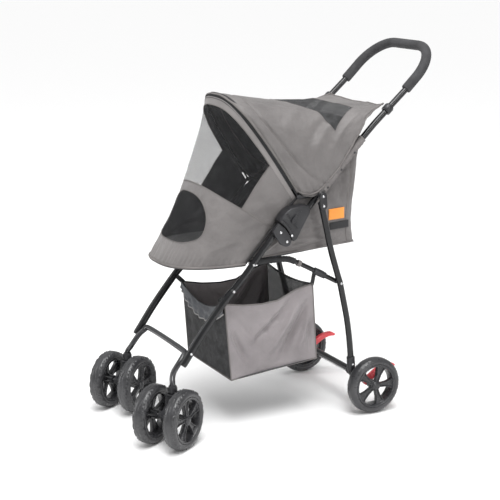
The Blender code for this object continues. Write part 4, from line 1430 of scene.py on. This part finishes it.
wall = raised(wall_shape, wall_relief)
sew(["cabin_wall"], 190, 46, [], wall, (RUN, 0.30), [cabin_cloth], wall_way,
    stands_for=["cabin_tub"])

# %% Wall piping
SEAM_RUN = SIDE_RUN - 0.008
for side, seam_u, front_u in (("left", 1 - SEAM_RUN / RUN, 1.0), ("right", SEAM_RUN / RUN, 0.0)):
    piping("wall_seam_" + side, [wall(seam_u, v) for v in shares(24)], 0.0020, grey_tape,
           wall_way)
    piping("wall_front_piping_" + side, [wall(front_u, v) for v in shares(8, 0.02, 0.98)], 0.0012,
           black_tape, wall_way)
piping("wall_bottom_piping", [wall(u, 0.0) for u in shares(120)], 0.0022, grey_tape,
       wall_way, 1, 4)
piping("wall_top_binding", [wall(u, 1.0) for u in shares(150)], 0.0014, black_tape,
       wall_way)


# %% Plain patches on its left side
def wall_near(y, z):
    """The place on the left side of the wall that is nearest to y, z."""
    best = None
    for i in range(60, 121):
        for j in range(0, 31):
            place = wall(i / 120, j / 30)
            off = (place.y - MIDDLE.y - y) ** 2 + (place.z - z) ** 2
            if place.x > MIDDLE.x + 0.11 and (best is None or off < best[0]):
                best = (off, place)
    return best[1]


def patch(name, corners, finish):
    """A thin patch sewn on the left side: four corners in side view, pillowed at its border."""
    def place(u, v):
        low = Vector(corners[0]).lerp(Vector(corners[1]), u)
        high = Vector(corners[3]).lerp(Vector(corners[2]), u)
        y, z = low.lerp(high, v)
        return at(base + 0.0012 * min(1.0, 9 * near(u), 9 * near(v)), y, z)
    centre = [sum(c[k] for c in corners) / 4 for k in (0, 1)]
    base = wall_near(*centre).x - MIDDLE.x + 0.0024
    width = (Vector(corners[1]) - Vector(corners[0])).length
    height = (Vector(corners[3]) - Vector(corners[0])).length
    sew([name], 24, 16, [], place, (width, height), [finish], wall_way,
        thick=0.0012)


patch("plain_patch_orange", [(-0.0655, 0.5135), (-0.111, 0.5115), (-0.111, 0.5400),
                             (-0.0655, 0.5420)], orange_cloth)
patch("plain_patch_dark", [(-0.0510, 0.4885), (-0.107, 0.4855), (-0.107, 0.5045),
                           (-0.0510, 0.5075)], black_cloth)

# %% The cabin's floor: a stiffened board in a cloth pocket, on a steel hoop
def floor_shape(u, v):
    c, s = half_turn(u)
    front = at(0.1315 * squarer(c, RIM_POWER), NOSE_START - 0.177 * squarer(s, RIM_POWER), 0.4275)
    rear = at(0.1295 * (1 - 2 * u), -0.031, 0.4485)
    return front.lerp(rear, v)


def floor_relief(u, v):
    return 0.0006 * noise.noise((u * 12, v * 14, 7.7)) * min(1.0, 10 * v, 10 * (1 - v))


sew(["cabin_floor_cloth"], 60, 60, [], raised(floor_shape, floor_relief), (0.26, 0.42),
    [insert_cloth], ("front_frame",))

# %% [markdown]
# ## Basket
# The basket hangs on four straps under the cabin: a close net at the front and back, satin at
# the sides. Satin that hangs from two corners falls in long diagonal folds from each corner to
# the middle of the lower edge, and these are what make it look hung rather than boxed.

# %% The basket's shape
basket_way = ("squash", "front_frame", "frame_fold", (0, 0, 1), at(0, -0.27, 0.335), 0.35)
BASKET_HALF, BASKET_SPREAD = 0.1245, 0.0035
TOP_FRONT, TOP_REAR = (-0.398, 0.326), (-0.149, 0.349)
LOW_FRONT, LOW_REAR = (-0.382, 0.128), (-0.137, 0.150)
# How far from the front to the rear, then y and z of a side's upper and lower edge there.
SAG_TOP = [(0.0, *TOP_FRONT), (0.22, -0.345, 0.316), (0.42, -0.292, 0.312), (0.60, -0.245, 0.316),
           (0.80, -0.196, 0.338), (1.0, *TOP_REAR)]
SAG_LOW = [(0.0, *LOW_FRONT), (0.25, -0.318, 0.132), (0.5, -0.262, 0.137), (0.75, -0.198, 0.143),
           (1.0, *LOW_REAR)]


def side_panel(sign):
    """A satin side: u from the rear to the front on the left, v from the lower edge up."""
    def place(u, v):
        t = 1 - u if sign > 0 else u
        top, low = table_at(SAG_TOP, t), table_at(SAG_LOW, t)
        y, z = low[0] + (top[0] - low[0]) * v, low[1] + (top[1] - low[1]) * v
        pull = (0.006 + 0.003 * math.sin(math.pi * v)) * math.sin(math.pi * t)
        return at(sign * (BASKET_HALF + BASKET_SPREAD * (1 - v) - pull), y, z)
    return place


def side_folds(sign):
    def relief(u, v):
        t = 1 - u if sign > 0 else u
        wave = (0.0024 * noise.noise((t * 5, v * 4, 3.3))
                + 0.0008 * noise.noise((t * 19, v * 15, 6.6)))
        folds = (crease(t, v, (0.92, 0.96), (0.40, 0.14), 0.044, 0.0085)
                 - crease(t, v, (0.97, 0.86), (0.58, 0.10), 0.038, 0.0150)
                 + crease(t, v, (0.985, 0.74), (0.76, 0.06), 0.030, 0.0080)
                 - crease(t, v, (0.94, 0.60), (0.92, 0.10), 0.024, 0.0090)
                 - crease(t, v, (0.80, 0.96), (0.22, 0.34), 0.040, 0.0130)
                 + crease(t, v, (0.04, 0.92), (0.40, 0.24), 0.042, 0.0050)
                 - crease(t, v, (0.02, 0.72), (0.24, 0.12), 0.036, 0.0110)
                 + crease(t, v, (0.30, 0.84), (0.60, 0.60), 0.040, 0.0035))
        return (wave + folds) * min(1.0, 9 * v, 12 * (1 - v), 12 * t, 12 * (1 - t))
    return relief


def end_panel(rear):
    """A net end: u across, v from the lower to the upper edge."""
    def place(u, v):
        x = (-1 if rear else 1) * (1 - 2 * u)
        (y_top, z_top), (y_low, z_low) = (TOP_REAR, LOW_REAR) if rear else (TOP_FRONT, LOW_FRONT)
        sag = 0.012 * (1 - x * x) * v if rear else 0.030 * (1 - x * x) * v
        bow = 0.005 * (1 - x * x) * math.sin(math.pi * v)
        y = y_low + (y_top - y_low) * v + (bow if rear else -bow)
        half = BASKET_HALF + BASKET_SPREAD * (1 - v)
        return at(x * half, y, z_low + (z_top - z_low) * v - sag)
    return place


def slack(scale, seed):
    """Loose net: a slow wave that fades at the seams."""
    def relief(u, v):
        fade = min(1.0, 8 * v, 8 * (1 - v), 8 * near(u))
        return scale * noise.noise((u * 5, v * 5, seed)) * fade
    return relief


def base_panel(u, v):
    front, rear = end_panel(False)(u, 0), end_panel(True)(1 - u, 0)
    place = front.lerp(rear, 1 - v)
    place.z -= 0.007 * math.sin(math.pi * u) * math.sin(math.pi * v)
    return place


print("the basket is %.3f m long at its top" % (TOP_REAR[0] - TOP_FRONT[0]))

# %% Sew the basket's panels
near_side = raised(side_panel(1), side_folds(1))
far_side = raised(side_panel(-1), side_folds(-1))
sew(["basket_side_left"], 80, 64, [], near_side, (0.25, 0.205), [basket_satin],
    basket_way, stands_for=["storage_basket"],
    lining=basket_satin)
sew(["basket_side_right"], 80, 64, [], far_side, (0.25, 0.205), [basket_satin],
    basket_way, lining=basket_satin)
front_end = raised(end_panel(False), slack(0.004, 1.1))
rear_end = raised(end_panel(True), slack(0.004, 2.2))
sew(["basket_front_net"], 50, 40, [], front_end, (0.26, 0.20), [close_net],
    basket_way)
sew(["basket_rear_net"], 50, 40, [], rear_end, (0.26, 0.20), [close_net],
    basket_way)
sew(["basket_base"], 50, 50, [], raised(base_panel, slack(0.003, 4.4)), (0.26, 0.25),
    [lining_cloth], basket_way)

# %% The gathered insert at the front
INSERT_GATHERS = 8


def insert_shape(u, v):
    place = end_panel(False)(u, 1)
    place.y -= 0.0040 + 0.003 * math.sin(math.pi * v)
    place.z += 0.003 - (0.040 - 0.012 * (2 * u - 1) ** 2) * (1 - v)
    return place


def insert_relief(u, v):
    gathers = 0.0024 * math.sin(u * 2 * math.pi * INSERT_GATHERS + 2 * noise.noise((u * 6, 3, 1)))
    return gathers * (1 - v) ** 2 + 0.003 * noise.noise((u * 8, v * 4, 12.0))


insert = raised(insert_shape, insert_relief)
sew(["basket_front_insert"], 90, 20, [], insert, (0.26, 0.045), [insert_cloth],
    basket_way)
piping("insert_elastic", [insert(u, 0.0) for u in shares(90)], 0.0017, pale_elastic,
       basket_way)
piping("insert_hem", [insert(u, 1.0) for u in shares(90)], 0.0012, black_tape,
       basket_way)

# %% Basket piping
# The top binding is the same on both sides; it is grey on the left, near side and black on the
# right, far side, and that black is painted shade.
for side, panel, ends, tape in (("left", near_side, (1.0, 0.0), grey_tape),
                                ("right", far_side, (0.0, 1.0), black_tape)):
    run = shares(40, *ends)
    piping("basket_top_tape_" + side, [panel(u, 1.0) for u in run], 0.0020, tape,
           basket_way, 1, 4)
    piping("basket_low_piping_" + side, [panel(u, 0.0) for u in run], 0.0018, grey_tape,
           basket_way, 1, 4)
    for end, u in zip(("front", "rear"), ends):
        piping("basket_%s_seam_%s" % (end, side), [panel(u, v) for v in shares(16)], 0.0016,
               grey_tape, basket_way, 1, 4)
piping("basket_rear_rim", [rear_end(u, 1.0) for u in shares(30)], 0.0024, black_tape,
       basket_way, 1, 4)
for name, panel in (("front", front_end), ("rear", rear_end)):
    piping("basket_%s_foot" % name, [panel(u, 0.0) for u in shares(30)], 0.0018, grey_tape,
           basket_way, 1, 4)


# %% Four straps that the basket hangs on
def strap(name, start, end):
    """A flat strap with rounded edges between two places."""
    band = bent_tube([start, start.lerp(end, 0.5), end], 0.006, 3)
    squeeze = Matrix.Scale(0.22, 4, Vector((1, 0, 0)))
    band.data.transform(Matrix.Translation(start) @ squeeze @ Matrix.Translation(-start))
    name_and_finish(band, name, black_tape)
    smooth(band, 50)
    carry(band, basket_way)


for side, sign in SIDES:
    strap("basket_front_strap_" + side, at(sign * BASKET_HALF, -0.396, 0.324),
          at(sign * 0.137, -0.413, 0.341))
    strap("basket_rear_strap_" + side, at(sign * BASKET_HALF, -0.151, 0.347),
          at(sign * 0.1415, -0.146, 0.382))
print("basket ready")
